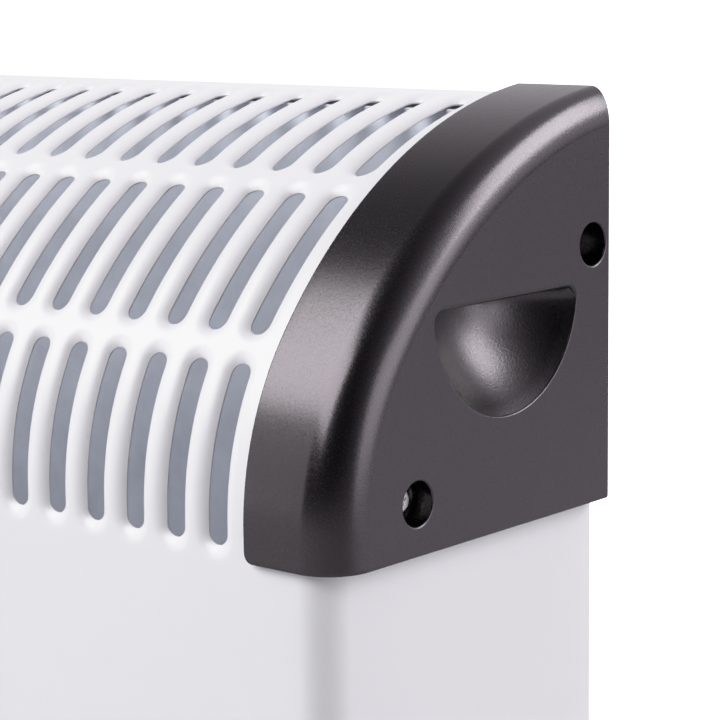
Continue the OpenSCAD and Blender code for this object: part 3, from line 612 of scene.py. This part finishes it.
def cap_place(kind, v, d):
    """Point of the cap's side outline at a distance d outside the casing, with its outward direction."""
    if kind == "flat":
        return FRONT_Y - d, CAP_Z + v, -1.0, 0.0
    if kind == "lower":
        ny, nz = ray(v)
        return LOWER_C[0] + (LOWER_R + d) * ny, LOWER_C[1] + (LOWER_R + d) * nz, ny, nz
    back = REAR_Y - (EDGE if kind == "upper" else v)
    end = math.acos((UPPER_C[0] - back) / (UPPER_R + d))
    a = LOWER_TURN + (end - LOWER_TURN) * v if kind == "upper" else end
    ny, nz = ray(a)
    return UPPER_C[0] + (UPPER_R + d) * ny, UPPER_C[1] + (UPPER_R + d) * nz, ny, nz


def half_disc(r, top, corner):
    """Half disc below a straight edge, as (u, v, normal u, normal v, share of the straight edge)."""
    cu = math.sqrt(max(1e-6, (r - corner) ** 2 - (top - corner) ** 2))
    cv = top - corner
    turn = math.atan2(cv, cu)
    straight = 16
    points = [(-cu + 2 * cu * i / straight, top, 0.0, 1.0, 1.0) for i in range(straight)]
    arcs = ((cu, cv, corner, math.pi / 2, turn, 5, 1, 0),
            (0, 0, r, turn, -math.pi - turn, 44, 0, 0),
            (-cu, cv, corner, math.pi - turn, math.pi / 2, 5, 0, 1))
    for u, v, radius, start, end, count, share, last_share in arcs:
        for i in range(count):
            a = start + (end - start) * i / count
            c, s = math.cos(a), math.sin(a)
            points.append((u + radius * c, v + radius * s, c, s, share + (last_share - share) * i / count))
    return points


def plan_inside(x, y):
    """Nearest point of the casing's plan, with the clearance that the cap leaves round it."""
    cx, cy, r = END_X - CORNER_R, FRONT_Y + CORNER_R, CORNER_R + GAP
    if x > cx and y < cy:
        l = math.hypot(x - cx, y - cy)
        return cx + (x - cx) * r / l, cy + (y - cy) * r / l
    if x <= cx:
        return x, FRONT_Y - GAP
    return END_X + GAP, y


def add_well(skin, cy, cz, floor_x):
    """A screw's well in the end face; returns its rim."""
    # radius and X of the well's surface, then of the wall's other side
    profile = [(WELL_R + 0.5, HALF_L), (WELL_R + 0.25, HALF_L - 0.07), (WELL_R + 0.07, HALF_L - 0.25),
               (WELL_R, HALF_L - 0.5), (WELL_R, (HALF_L + floor_x) / 2), (WELL_R - 0.05, floor_x + 0.5),
               (WELL_R - 0.5, floor_x), (HEAD_R + 0.6, floor_x), (SHANK_R + 0.1, floor_x)]
    backs = [(WELL_R + WALL + 0.05 * (3 - k), HALF_L - WALL) for k in range(4)]
    backs += [(WELL_R + 1.6, x) for _, x in profile[4:6]]
    backs += [(r, floor_x - 2) for r, _ in profile[6:]]
    rings = [[skin.vertex((x, cy + r * math.cos(a), cz + r * math.sin(a)),
                          (back_x, cy + back_r * math.cos(a), cz + back_r * math.sin(a)))
              for a in turns_of(40)] for (r, x), (back_r, back_x) in zip(profile, backs)]
    skin.bands(rings[:2], True, FACE, True)
    skin.bands(rings[1:], True, BAND, True)
    return rings[0]


def add_recess(skin):
    """The hand recess: half a hollow ball below a straight top edge; returns its rim."""
    ry, rz = RECESS_AT
    ball_x = HALF_L + RECESS_BALL - RECESS_DEPTH
    rings = []
    for psi in (0, 22, 45, 68, 90):
        a = math.radians(psi)
        ring = []
        for u, v, nu, nv, share in half_disc(RECESS_R, 0.0, RECESS_CORNER):
            f = 0.55 + 0.9 * share
            off = f * (1 - math.sin(a))
            x = HALF_L - f * (1 - math.cos(a))
            back = WALL + 0.02 * (90 - psi) / 22
            ring.append(skin.vertex((x, ry + u + nu * off, rz + v + nv * off),
                                    (HALF_L - WALL, ry + u + nu * back, rz + v + nv * back)))
        rings.append(ring)
    start = math.acos((ball_x - HALF_L + 1.7) / RECESS_BALL)
    for k in range(18):
        a = start * (1 - k / 17.6)
        depth = RECESS_BALL * math.cos(a) - (ball_x - HALF_L)
        r = RECESS_BALL * math.sin(a)
        ring = []
        for u, v, _, _, share in half_disc(r, -0.03 * depth, min(RECESS_CORNER, r * 0.3)):
            p = Vector((HALF_L - depth, ry + u, rz + v))
            out = (p - Vector((ball_x, ry, rz))).normalized() * (1 - share) + Vector((0, 0, 1)) * share
            ring.append(skin.vertex(tuple(p), tuple(p + out.normalized() * WALL)))
        rings.append(ring)
    skin.bands(rings, True, RECESS, True)
    skin.face(rings[-1][::-1], RECESS)
    return rings[0]


def build_cap(name, stands_for, flip_x):
    """A moulded end cap: band, rounded edge, and end face with a hand recess and two screw wells."""
    skin = Skin()
    rows = cap_rows()
    psi_list = [math.radians(7.5 * i) for i in range(13)]
    lines = []  # one list of vertices for each row
    for kind, v, progress in rows:
        along = BLEND_LOW + (BLEND_HIGH - BLEND_LOW) * progress
        inward = BLEND_LOW + (BLEND_IN_HIGH - BLEND_LOW) * progress
        fall = edge_inset(v) if kind in ("flat", "rear") else 0.0
        start = CAP_IN_X
        if kind == "flat" and v < LEAD_R:
            start += LEAD_R - math.sqrt(LEAD_R ** 2 - (LEAD_R - v) ** 2)
        section = [(start, -0.5, 0), (start + 0.06, -0.24, 0), (start + 0.2, -0.07, 0), (start + 0.5, 0, 0)]
        flat_end = HALF_L - along
        split = [max(x, start + 1) for x in (CAP_IN_X + 4, CAP_IN_X + 9, CAP_IN_X + 13.5)]
        section += [(x, 0, 0) for x in split]
        line = []
        for x, d, psi in section + [(None, 0, psi) for psi in psi_list]:
            if x is None:
                x = flat_end + (along - fall) * math.sin(psi)
                depth = PROUD - inward + (inward - fall) * math.cos(psi)
                ix = flat_end + (along - WALL) * math.sin(psi)
                idepth = PROUD - inward + (inward - WALL) * math.cos(psi)
            else:
                depth, ix, idepth = PROUD + d - fall, x, PROUD - WALL
            y, z, ny, nz = cap_place(kind, v, depth)
            jy, jz, _, _ = cap_place(kind, v, idepth)
            if kind == "flat":
                jz = CAP_Z + max(v, WALL if ix > CAP_IN_X + 20 else v)
            line.append(skin.vertex((x, y, z), (ix, jy, jz)))
        lines.append(line)
    skin.bands(lines)

    # the end face's rear and bottom edges, rounded like the rest
    ends = [line[-1] for line in lines]
    first_face = next(i for i, (k, v, _) in enumerate(rows) if k == "flat" and v >= EDGE)
    last_face = len(rows) - 5
    top = skin.outer[ends[last_face]]
    z_steps = [top[2] + (CAP_Z + EDGE - top[2]) * i / 12 for i in range(1, 13)]
    low = skin.outer[ends[first_face]]
    y_steps = [low[1] + (REAR_Y - EDGE - low[1]) * i / 8 for i in range(1, 8)]
    t_steps = [EDGE, *EDGE_STEPS]
    # lines from the face edge outwards, each from top to bottom
    rear_lines = [[skin.vertex((HALF_L - edge_inset(t), REAR_Y - t, z), (HALF_L - WALL, REAR_Y - WALL, z))
                   for z in z_steps] for t in t_steps]
    for k, line in enumerate(rear_lines):
        line.insert(0, ends[last_face + k])
    skin.bands(rear_lines, flip=True)
    inner_corner = (HALF_L - WALL, REAR_Y - WALL, CAP_Z + WALL)
    bottom_lines = []
    for k, t in enumerate((EDGE, 0.2, 0.06, 0)):
        x = HALF_L - edge_inset(t)
        line = [skin.vertex((x, y, CAP_Z + t), (HALF_L - WALL, y, CAP_Z + WALL)) for y in y_steps]
        corner = skin.vertex((x, REAR_Y - EDGE, CAP_Z + t), inner_corner)
        bottom_lines.append([ends[first_face - k], *line, corner])
    skin.bands(bottom_lines, flip=True)
    # little corner between the two rounded edges
    corners = [line[-1] for line in bottom_lines]
    tip = [line[-1] for line in rear_lines[1:]]
    low_tip = [skin.vertex((HALF_L - EDGE, REAR_Y - t, CAP_Z), inner_corner) for t in t_steps[1:]]
    skin.face(corners[::-1] + tip + low_tip[::-1])

    # bottom wall, in to the casing
    loop = lines[0] + bottom_lines[3][1:] + low_tip
    inside = []
    for v in loop:
        px, py = plan_inside(*skin.outer[v][:2])
        inside.append(skin.vertex((px, py, CAP_Z), (px, py, CAP_Z + WALL)))
    for i in range(len(loop) - 1):
        skin.face([loop[i], inside[i], inside[i + 1], loop[i + 1]])

    # rear wall
    top_edge = [v for v in lines[-1] if skin.outer[v][0] > REAR_HALF]
    top_z = skin.outer[lines[-1][5]][2]
    join = skin.vertex((REAR_HALF, REAR_Y, top_z), (REAR_HALF, REAR_Y - WALL, top_z - WALL))
    foot = skin.vertex((REAR_HALF, REAR_Y, CAP_Z), (REAR_HALF, REAR_Y - WALL, CAP_Z + WALL))
    skin.face([join, *top_edge, *rear_lines[-1][1:], low_tip[-1], foot])

    # end face with its screw wells and recess
    border = ends[first_face:last_face + 1] + rear_lines[0][1:] + bottom_lines[0][-2:0:-1]
    loops = [border, add_well(skin, *FRONT_SCREW, PLATE_X + 2), add_well(skin, *REAR_SCREW, REAR_HALF + 2),
             add_recess(skin)]
    ids = [v for loop in loops for v in loop]
    for tri in filled([[skin.outer[v][1:] for v in loop] for loop in loops]):
        skin.face([ids[i] for i in tri], FACE)
    piece = skin.make(name, [cap_band_mat, cap_face_lit_mat, recess_shaded_mat], "casing", "cap_plastic", sharp=40,
                      stands_for=stands_for, flip_x=flip_x)
    flatten(piece)


build_shell()
build_end_plates()
build_cap("cap_right", ["end_cap_right"], False)
build_cap("cap_left", ["end_cap_left"], True)


# ---------------------------------------------------------------- screws
def islands(name):
    """Boxes of the separate solids in a CAD node, as (low, high)."""
    bm = bmesh.new()
    bm.from_mesh(nodes[name].data)
    bm.transform(nodes[name].matrix_world)
    bmesh.ops.remove_doubles(bm, verts=bm.verts, dist=0.00001)
    seen, boxes = set(), []
    for start in bm.verts:
        if start in seen:
            continue
        seen.add(start)
        stack, group = [start], []
        while stack:
            v = stack.pop()
            group.append(v.co / MM)
            for e in v.link_edges:
                w = e.other_vert(v)
                if w not in seen:
                    seen.add(w)
                    stack.append(w)
        low = Vector([min(p[i] for p in group) for i in range(3)])
        high = Vector([max(p[i] for p in group) for i in range(3)])
        boxes.append((low, high))
    bm.free()
    return boxes


def lathe(profile, count=32):
    """Points and faces of a form turned about Z, from (radius, height) pairs; a radius of 0 closes it."""
    points, faces, rings = [], [], []
    for r, z in profile:
        if r == 0:
            rings.append([len(points)] * count)
            points.append((0.0, 0.0, z))
            continue
        rings.append(list(range(len(points), len(points) + count)))
        points += [(r * math.cos(a), r * math.sin(a), z) for a in turns_of(count)]
    for a, b in zip(rings, rings[1:]):
        for i in range(count):
            j = (i + 1) % count
            face = [a[i], a[j], b[j], b[i]]
            face = [v for k, v in enumerate(face) if v != face[k - 1]]
            if len(face) > 2:
                faces.append(face)
    return points, faces, rings


def cross_outline(l, w):
    quarter = [(l, -w), (l, w), (w, w)]
    turned = []
    for k in range(4):
        c, s = (1, 0, -1, 0)[k], (0, 1, 0, -1)[k]
        turned += [(x * c - y * s, x * s + y * c) for x, y in quarter]
    return turned


def phillips(shank):
    """A pan-headed screw that stands on z = 0, with a cross in its head and a thread below."""
    turns = int((shank - 1.5) / THREAD_PITCH)
    profile = [(0, -shank), (0.7, -shank)]
    for k in range(turns, 0, -1):
        z = -0.6 - k * THREAD_PITCH
        profile += [(SHANK_R * 0.78, z), (SHANK_R, z + THREAD_PITCH / 2)]
    profile += [(SHANK_R * 0.85, -0.4), (SHANK_R, 0), (HEAD_R - 0.15, 0), (HEAD_R, 0.15), (HEAD_R, 0.55)]
    crown = 2.35
    for k in range(1, 7):
        a = math.radians(15 * k)
        profile.append((crown + (HEAD_R - crown) * math.cos(a), 0.55 + (HEAD_H - 0.55) * math.sin(a)))
    points, faces, rings = lathe(profile)
    top = rings[-1]
    cross = cross_outline(1.75, 0.36)
    deep = cross_outline(0.95, 0.24)
    base = len(points)
    points += [(x, y, HEAD_H) for x, y in cross] + [(x, y, HEAD_H - 1.2) for x, y in deep]
    n = len(cross)
    ids = top + list(range(base, base + n))
    faces += [[ids[i] for i in tri] for tri in filled([[points[v][:2] for v in top], cross])]
    for i in range(n):
        j = (i + 1) % n
        faces.append([base + i, base + j, base + n + j, base + n + i])
    faces.append(list(range(base + n, base + 2 * n)))
    return points, faces


def screws(node, heading):
    """Cross-headed screws in the places of a CAD node's screws; heading(middle) says where a head points."""
    parts = []
    for k, (low, high) in enumerate(islands(node)):
        middle, size = (low + high) / 2, high - low
        axis = Vector(heading(middle))
        length = abs(size.dot(axis))
        grow = (sum(size) - length) / 4 / HEAD_R
        foot_at = middle + axis * (length / 2 - HEAD_H * grow)
        turn = axis.to_track_quat("Z", "Y").to_matrix() @ Matrix.Rotation(0.35 + 0.65 * k, 3, "Z")
        points, faces = phillips(length / grow - HEAD_H)
        parts.append(([tuple(foot_at + turn @ (Vector(p) * grow)) for p in points], faces))
    mesh(node.replace("_screws", "_cross_screws"), *joined(parts), [zinc], "casing", "zinc_screw",
         stands_for=[node])


screws("end_cap_screws", lambda at: (math.copysign(1, at.x), 0, 0))
screws("rear_panel_screws", lambda at: (0, 1, 0))
screws("foot_screws", lambda at: (0, 0, -1))
screws("control_panel_screws", lambda at: (1, 0, 0))
screws("motor_screws", lambda at: (0, 0, 1))


# ---------------------------------------------------------------- controls
FLUTE = 0.85                     # depth of the knob's flutes
DIAL_START, DIAL_SWEEP = 5, 260  # the scale's place round the knob, in degrees
ROCKERS = ("low_heat", "high_heat", "fan")
ROCKER_THROW = 24
ROCKER_X = END_X - 10 + 0.6
# A rocker's face, from its pivot: distance out at the middle and at the ends, half length, place of the marks
FACE_MID, FACE_END, FACE_HALF, MARK_AT = 2.6, 4, 7.2, 0.52


def arc(cy, cz, r, start, end, count):
    """Points (y, z) of an arc; angles in degrees, clockwise from straight up as seen from beyond the end."""
    turns = [math.radians(start + (end - start) * i / count) for i in range(count + 1)]
    return [(cy + r * math.sin(a), cz + r * math.cos(a)) for a in turns]


def bar(y, low, high, r, count=6):
    """Outline of an upright bar with round ends, which are centred on low and high."""
    return (arc(y, high, r, -90, 90, count) + arc(y, low, r, 90, 270, count))[::-1]


def build_knob():
    """The fluted thermostat knob, with a skirt, a dished top and a pointer."""
    low, high = node_box("thermostat_knob")
    cy, cz = (low[1] + high[1]) / 2, (low[2] + high[2]) / 2
    r, x0, h = (high[2] - low[2]) / 2, low[0], high[0] - low[0]
    grip = r - 3
    flutes, per_flute = 24, 8
    # radius, share of the flutes' depth, height
    rows = [(0, 0, 0), (r - 0.8, 0, 0), (r - 0.2, 0, 0.25), (r, 0, 0.8), (r, 0, 2.8), (r - 0.35, 0, 3.6),
            (r - 1.2, 0, 4), (grip + 0.7, 0, 4.1), (grip + 0.1, 0.3, 4.6), (grip, 1, 5.4),
            (grip - 0.3, 1, h - 2),
            (grip - 0.7, 0.9, h - 1.1), (grip - 1.5, 0.5, h - 0.35), (grip - 2.6, 0.12, h), (grip - 4, 0, h),
            (grip - 5.5, 0, h - 0.35), (grip - 7.5, 0, h - 0.7), (0, 0, h - 0.8)]
    count = flutes * per_flute
    faces = lathe([(radius, x) for radius, _, x in rows], count)[1]
    shaped = []
    for radius, share, x in rows:
        for a in turns_of(count) if radius else (0,):
            cut = share * FLUTE * max(0.0, math.cos(flutes * a)) ** 1.5
            shaped.append((x0 + x, cy + (radius - cut) * math.cos(a), cz + (radius - cut) * math.sin(a)))
    mesh("thermostat_fluted_knob", shaped, faces, [knob_mat], "thermostat", "knob_plastic",
         stands_for=["thermostat_knob"])
    parts = [slab(bar(cy, cz + 4, cz + grip - 3.2, 0.8, 8), x0 + h - 1, x0 + h - 0.02),
             slab(bar(cy, cz + grip + 1.1, cz + r - 1.5, 0.6), x0 + 3.2, x0 + 4.15)]
    mesh("thermostat_pointer", *joined(parts), [mark_mat], "thermostat", "knob_plastic",
         stands_for=["thermostat_knob"])
    return cy, cz, r, x0


def build_marks(cy, cz, r, x0):
    """The dial's tapering arc and ticks, and a mark over each rocker."""
    steps, end = 40, DIAL_START + DIAL_SWEEP
    swell = [arc(cy, cz, r + 1.6 + 2.1 * k / steps, DIAL_START + DIAL_SWEEP * k / steps, 0, 1)[0]
             for k in range(steps + 1)]
    loops = [(swell + arc(cy, cz, r + 1.2, end, DIAL_START, steps))[::-1]]
    for a in (DIAL_START + 1, end - 1):
        tick = arc(cy, cz, r + 5.2, a - 2, a + 2, 2) + arc(cy, cz, r + 4.4, a + 2, a - 2, 2)
        loops.append(tick[::-1])
    for k, rocker in enumerate(ROCKERS):
        low, top = node_box(rocker + "_rocker")
        y, z = (low[1] + top[1]) / 2, top[2] + 6.5
        if rocker == "fan":
            for turn in turns_of(3):
                loops.append(arc(y + 1.6 * math.sin(turn), z + 1.6 * math.cos(turn), 1.25, 360, 22.5, 15))
        else:
            loops += [bar(y + (i - k / 2) * 2.6, z - 2.2, z + 2.2, 0.55) for i in range(k + 1)]
    mesh("control_marks", *joined([slab(loop, x0 - 0.6, x0 - 0.42) for loop in loops]), [mark_mat], "casing",
         "control_plastic")


def build_rocker_marks():
    """The bar and the ring on each rocker's two faces."""
    rest = Matrix.Rotation(math.radians(ROCKER_THROW / 2), 3, "Y")
    lean = math.atan2(FACE_END - FACE_MID, FACE_HALF)
    step = 18
    ring = [(arc(0, 0, 1.9, a, a + step, 1) + arc(0, 0, 1.2, a + step, a, 1))[::-1]
            for a in range(0, 360, step)]
    for rocker in ROCKERS:
        low, high = node_box(rocker + "_rocker")
        pivot = Vector((ROCKER_X, (low[1] + high[1]) / 2, (low[2] + high[2]) / 2))
        parts = []
        for sign, loops in ((1, [bar(0, -1.5, 1.5, 0.4)]), (-1, ring)):
            tip = Matrix.Rotation(sign * lean, 3, "Y")
            at = Vector((FACE_MID + (FACE_END - FACE_MID) * MARK_AT, 0, sign * FACE_HALF * MARK_AT))
            for loop in loops:
                points, faces = slab(loop, -0.3, 0.07)
                parts.append(([tuple(pivot + rest @ (at + tip @ Vector(q))) for q in points], faces))
        mesh(rocker + "_rocker_marks", *joined(parts), [mark_mat], "rocker_" + rocker, "rocker_plastic")


build_marks(*build_knob())
build_rocker_marks()


# ---------------------------------------------------------------- heating coils
def tube(path, r, sides):
    """Points and faces of a tube along a path of Vectors."""
    points, faces = [], []
    side = (path[1] - path[0]).orthogonal().normalized()
    for k, p in enumerate(path):
        way = (path[min(k + 1, len(path) - 1)] - path[max(k - 1, 0)]).normalized()
        side = (side - way * side.dot(way)).normalized()
        other = way.cross(side)
        points += [tuple(p + side * (r * math.cos(a)) + other * (r * math.sin(a))) for a in turns_of(sides)]
    for k in range(len(path) - 1):
        a, b = k * sides, (k + 1) * sides
        faces += [[a + i, a + (i + 1) % sides, b + (i + 1) % sides, b + i] for i in range(sides)]
    faces.append(list(range(sides - 1, -1, -1)))
    faces.append(list(range((len(path) - 1) * sides, len(path) * sides)))
    return points, faces


def build_coil(node):
    """An open helix of resistance wire along two runs and the turn between them."""
    low, high = node_box(node)
    coil_r, wire_r, pitch, per_turn = (high[2] - low[2]) / 2, 0.45, 2.4, 12
    mid_y, z = (low[1] + high[1]) / 2, (low[2] + high[2]) / 2
    bend_r = (high[1] - low[1]) / 2 - coil_r
    bend_x = low[0] + bend_r + coil_r
    run, bend = high[0] - bend_x, math.pi * bend_r
    total = 2 * run + bend
    steps = int(total / pitch * per_turn)
    path = []
    for k in range(steps + 1):
        s = total * k / steps
        if s < run:
            at, out = Vector((high[0] - s, mid_y - bend_r, z)), Vector((0, -1, 0))
        elif s < run + bend:
            a = (s - run) / bend_r
            out = Vector((-math.sin(a), -math.cos(a), 0))
            at = Vector((bend_x, mid_y, z)) + out * bend_r
        else:
            at, out = Vector((bend_x + s - run - bend, mid_y + bend_r, z)), Vector((0, 1, 0))
        turn = 2 * math.pi * k / per_turn
        path.append(at + (out * math.cos(turn) + Vector((0, 0, 1)) * math.sin(turn)) * (coil_r - wire_r))
    mesh(node + "_helix", *tube(path, wire_r, 5), [wire], "casing", "coil_wire", sharp=80,
         stands_for=[node])


build_coil("low_heat_coil")
build_coil("high_heat_coil")


# ---------------------------------------------------------------- fan
def build_impeller():
    """A domed hub with seven cambered blades that widen and flatten towards their tips."""
    low, high = node_box("fan_impeller")
    tip_r, z0, h = (high[0] - low[0]) / 2, low[2], high[2] - low[2]
    hub_r, blades = 12, 7
    profile = [(2.05, 0.6), (hub_r - 1.5, 0), (hub_r - 0.4, 0.3), (hub_r, 1.2), (hub_r, h - 3.5),
               (hub_r - 0.4, h - 2), (hub_r - 1.6, h - 0.9), (hub_r - 4, h - 0.3), (6, h), (4, h),
               (3.6, h - 1), (2.05, h - 1.2), (2.05, 0.6)]
    points, faces, _ = lathe(profile, 48)
    parts = [([(x, y, z + z0) for x, y, z in points], faces)]
    spans, chords = 14, 12
    for angle in turns_of(blades):
        turn = Matrix.Rotation(angle, 3, "Z")
        points, faces = [], []
        for side in (1, -1):
            for i in range(spans + 1):
                u = i / spans
                r = hub_r - 0.8 + (tip_r - 0.1 - hub_r + 0.8) * u
                half = 8.5 + 3.0 * math.sin(u * 2.2)
                pitch = math.radians(44 - 12 * u)
                for j in range(chords + 1):
                    v = 2 * j / chords - 1
                    along = half * v
                    camber = 1.6 * (1 - v * v) + side * 0.9 * (1 - 0.35 * u) * math.sqrt(1 - v ** 4)
                    y = along * math.cos(pitch) - camber * math.sin(pitch)
                    z = along * math.sin(pitch) + camber * math.cos(pitch)
                    a = y / r
                    round_tip = r - (1.6 * v * v if i == spans else 0)
                    at = Vector((round_tip * math.cos(a), round_tip * math.sin(a), z0 + h / 2 + z))
                    points.append(tuple(turn @ at))
        w, n = chords + 1, (chords + 1) * (spans + 1)
        for i in range(spans):
            for j in range(chords):
                a = i * w + j
                faces.append([a, a + w, a + w + 1, a + 1])
                faces.append([n + a, n + a + 1, n + a + w + 1, n + a + w])
        for j in range(chords):
            for i in (0, spans):
                a = i * w + j
                quad = [a, a + 1, n + a + 1, n + a]
                faces.append(quad if i == 0 else quad[::-1])
        parts.append((points, faces))
    weld(mesh("fan_moulded_impeller", *joined(parts), [fan_mat], "fan", "fan_plastic", sharp=50,
              stands_for=["fan_impeller"]), 0.02)


build_impeller()

# ---------------------------------------------------------------- nodes kept from the frame
# Material, how far the edges are rounded (0 leaves them as they are), and nodes
KEPT = (
    (white_paint, 0, "rear_panel bottom_panel"),
    (galvanised, 0, "heat_shield"),
    (galvanised, 0.2, "cap_brackets element_frame element_brackets fan_bracket"),
    (galvanised, 0.25, "motor_bridge_upper motor_bridge_lower"),
    (cap_face_lit_mat, 1.6, "foot_right foot_left"),
    (rubber, 0.6, "foot_pads"),
    (rubber, 0.7, "cord_bushing"),
    (control_mat, 0.7, "control_panel"),
    (control_mat, 0.4, "low_heat_switch high_heat_switch fan_switch"),
    (rocker_mat, 0.5, "low_heat_rocker high_heat_rocker fan_rocker"),
    (bakelite, 0.6, "thermostat_body"),
    (steel, 0.3, "thermostat_shaft fan_shaft"),
    (steel, 0.2, "thermal_cutout"),
    (brass, 0.15, "switch_terminals"),
    (zinc, 0.3, "shield_spacers"),
    (mica, 0.15, "mica_cards"),
    (ceramic, 0.4, "ceramic_bushings"),
    (lamination, 0.4, "motor_rotor motor_stator"),
    (winding, 1.2, "motor_coil"),
    (plated_wire, 0, "fan_guard"),
    (terminal_mat, 0.6, "terminal_block"),
    (sleeve, 0, "wiring"),
)
for look, width, names in KEPT:
    for name in names.split():
        nodes[name].data.materials.clear()
        nodes[name].data.materials.append(look)
        if width:
            soften(nodes[name], width)

# ---------------------------------------------------------------- camera, light, floor
AZ, EL, ROLL = math.radians(40.43), math.radians(9.65), math.radians(-0.77)
forward = Vector((-math.sin(AZ) * math.cos(EL), math.cos(AZ) * math.cos(EL), -math.sin(EL)))
level = forward.cross(Vector((0, 0, 1))).normalized()
rise = level.cross(forward)
right = math.cos(ROLL) * level + math.sin(ROLL) * rise
up = -math.sin(ROLL) * level + math.cos(ROLL) * rise
camera = placed("camera", bpy.data.cameras.new("camera"))
camera.data.lens = 120.05
camera.data.sensor_width = 36
camera.data.clip_start, camera.data.clip_end = 0.05, 60
turned = Matrix((right, up, -forward)).transposed().to_4x4()
camera.matrix_world = Matrix.Translation((0.6695, -0.4847, 0.4269)) @ turned
bpy.context.scene.camera = camera


UPPER_END = Vector((0.27, 0, 0.33))


def softbox(name, azimuth, elevation, distance, width, height, power):
    """A rectangular lamp; azimuth 0 is in front of the heater and 90 beyond its right end."""
    data = bpy.data.lights.new(name, "AREA")
    data.shape = "RECTANGLE"
    data.size, data.size_y = width, height
    data.energy = power
    lamp = placed(name, data)
    a, e = math.radians(azimuth), math.radians(elevation)
    d = Vector((math.sin(a) * math.cos(e), -math.cos(a) * math.cos(e), math.sin(e)))
    lamp.location = UPPER_END + d * distance
    lamp.rotation_mode = "QUATERNION"
    lamp.rotation_quaternion = d.to_track_quat("Z", "Y")
    lamp.visible_camera = False


def by_ray(tree, others, camera_rays):
    """One shader for the rays from the camera and another for all others."""
    seen = node(tree, "LightPath", {}).outputs["Is Camera Ray"]
    return node(tree, "MixShader", {0: seen, 1: others, 2: camera_rays}).outputs[0]


softbox("key", -30, 40, 2.4, 2.7, 1.45, 80)
softbox("side", 132, 29, 2.2, 1.1, 1.1, 28)
softbox("side_fill", 110, 3, 2.4, 1.6, 1.3, 15)
softbox("low_fill", -54, 6, 2.6, 2.0, 1.2, 9)

WHITE = 2.4  # the light that is shown as pure white

# The studio: pale behind the heater, dark round the camera. Camera rays see plain white.
world = bpy.data.worlds.new("studio")
world.use_nodes = True
wt = world.node_tree
wt.nodes.clear()
DARK_SIDE = math.radians(-12)
toward_camera = node(wt, "VectorMath", {
    0: node(wt, "TexCoord", {}).outputs["Generated"],
    1: (math.sin(DARK_SIDE), -math.cos(DARK_SIDE), 0.0)}, operation="DOT_PRODUCT").outputs["Value"]
share = node(wt, "Math", {0: toward_camera, 1: 0.5, 2: 0.5}, operation="MULTIPLY_ADD").outputs[0]
glow = ramp(wt, share, [
    (0.0, (0.95, 0.92, 0.97)), (0.22, (0.88, 0.85, 0.9)), (0.33, (0.6, 0.58, 0.61)),
    (0.45, (0.24, 0.23, 0.25)), (0.6, (0.06, 0.06, 0.06)), (0.75, (0.01, 0.01, 0.01))])
ambient = node(wt, "Background", {0: glow}).outputs[0]
plain = node(wt, "Background", {0: (1, 1, 1, 1), 1: WHITE}).outputs[0]
node(wt, "OutputWorld", {0: by_ray(wt, ambient, plain)})
bpy.context.scene.world = world

# A soft shoulder, so that the whites keep their shading.
view = bpy.context.scene.view_settings
view.view_transform = "Standard"
view.use_curve_mapping = True
tones = view.curve_mapping
tones.white_level = (WHITE, WHITE, WHITE)
TONES = ((0.1, 0.1), (0.3, 0.3), (0.6, 0.6), (0.8, 0.79), (1.0, 0.91), (1.3, 0.975), (1.8, 0.995))
for light, shown in TONES:
    tones.curves[3].points.new(light / WHITE, shown)
tones.update()

# The floor: white to the camera, and a muted grey in the heater's reflections and bounced light.
FLOOR = 20
floor_data = bpy.data.meshes.new("floor")
floor_data.from_pydata([(-FLOOR, -FLOOR, 0), (FLOOR, -FLOOR, 0), (FLOOR, FLOOR, 0), (-FLOOR, FLOOR, 0)], [],
                       [(0, 1, 2, 3)])
floor_mat = bpy.data.materials.new("pale_floor")
floor_mat.use_nodes = True
ft = floor_mat.node_tree
shader = ft.nodes["Principled BSDF"]
for socket, value in (("Base Color", (0.85, 0.85, 0.85, 1)), ("Roughness", 0.9),
                      ("Emission Color", (1, 1, 1, 1)), ("Emission Strength", 1.9)):
    shader.inputs[socket].default_value = value
muted = node(ft, "BsdfDiffuse", {0: (0.46, 0.46, 0.47, 1)}).outputs[0]
ft.links.new(by_ray(ft, muted, shader.outputs[0]), ft.nodes["Material Output"].inputs[0])
floor_data.materials.append(floor_mat)
floor = placed("floor", floor_data)
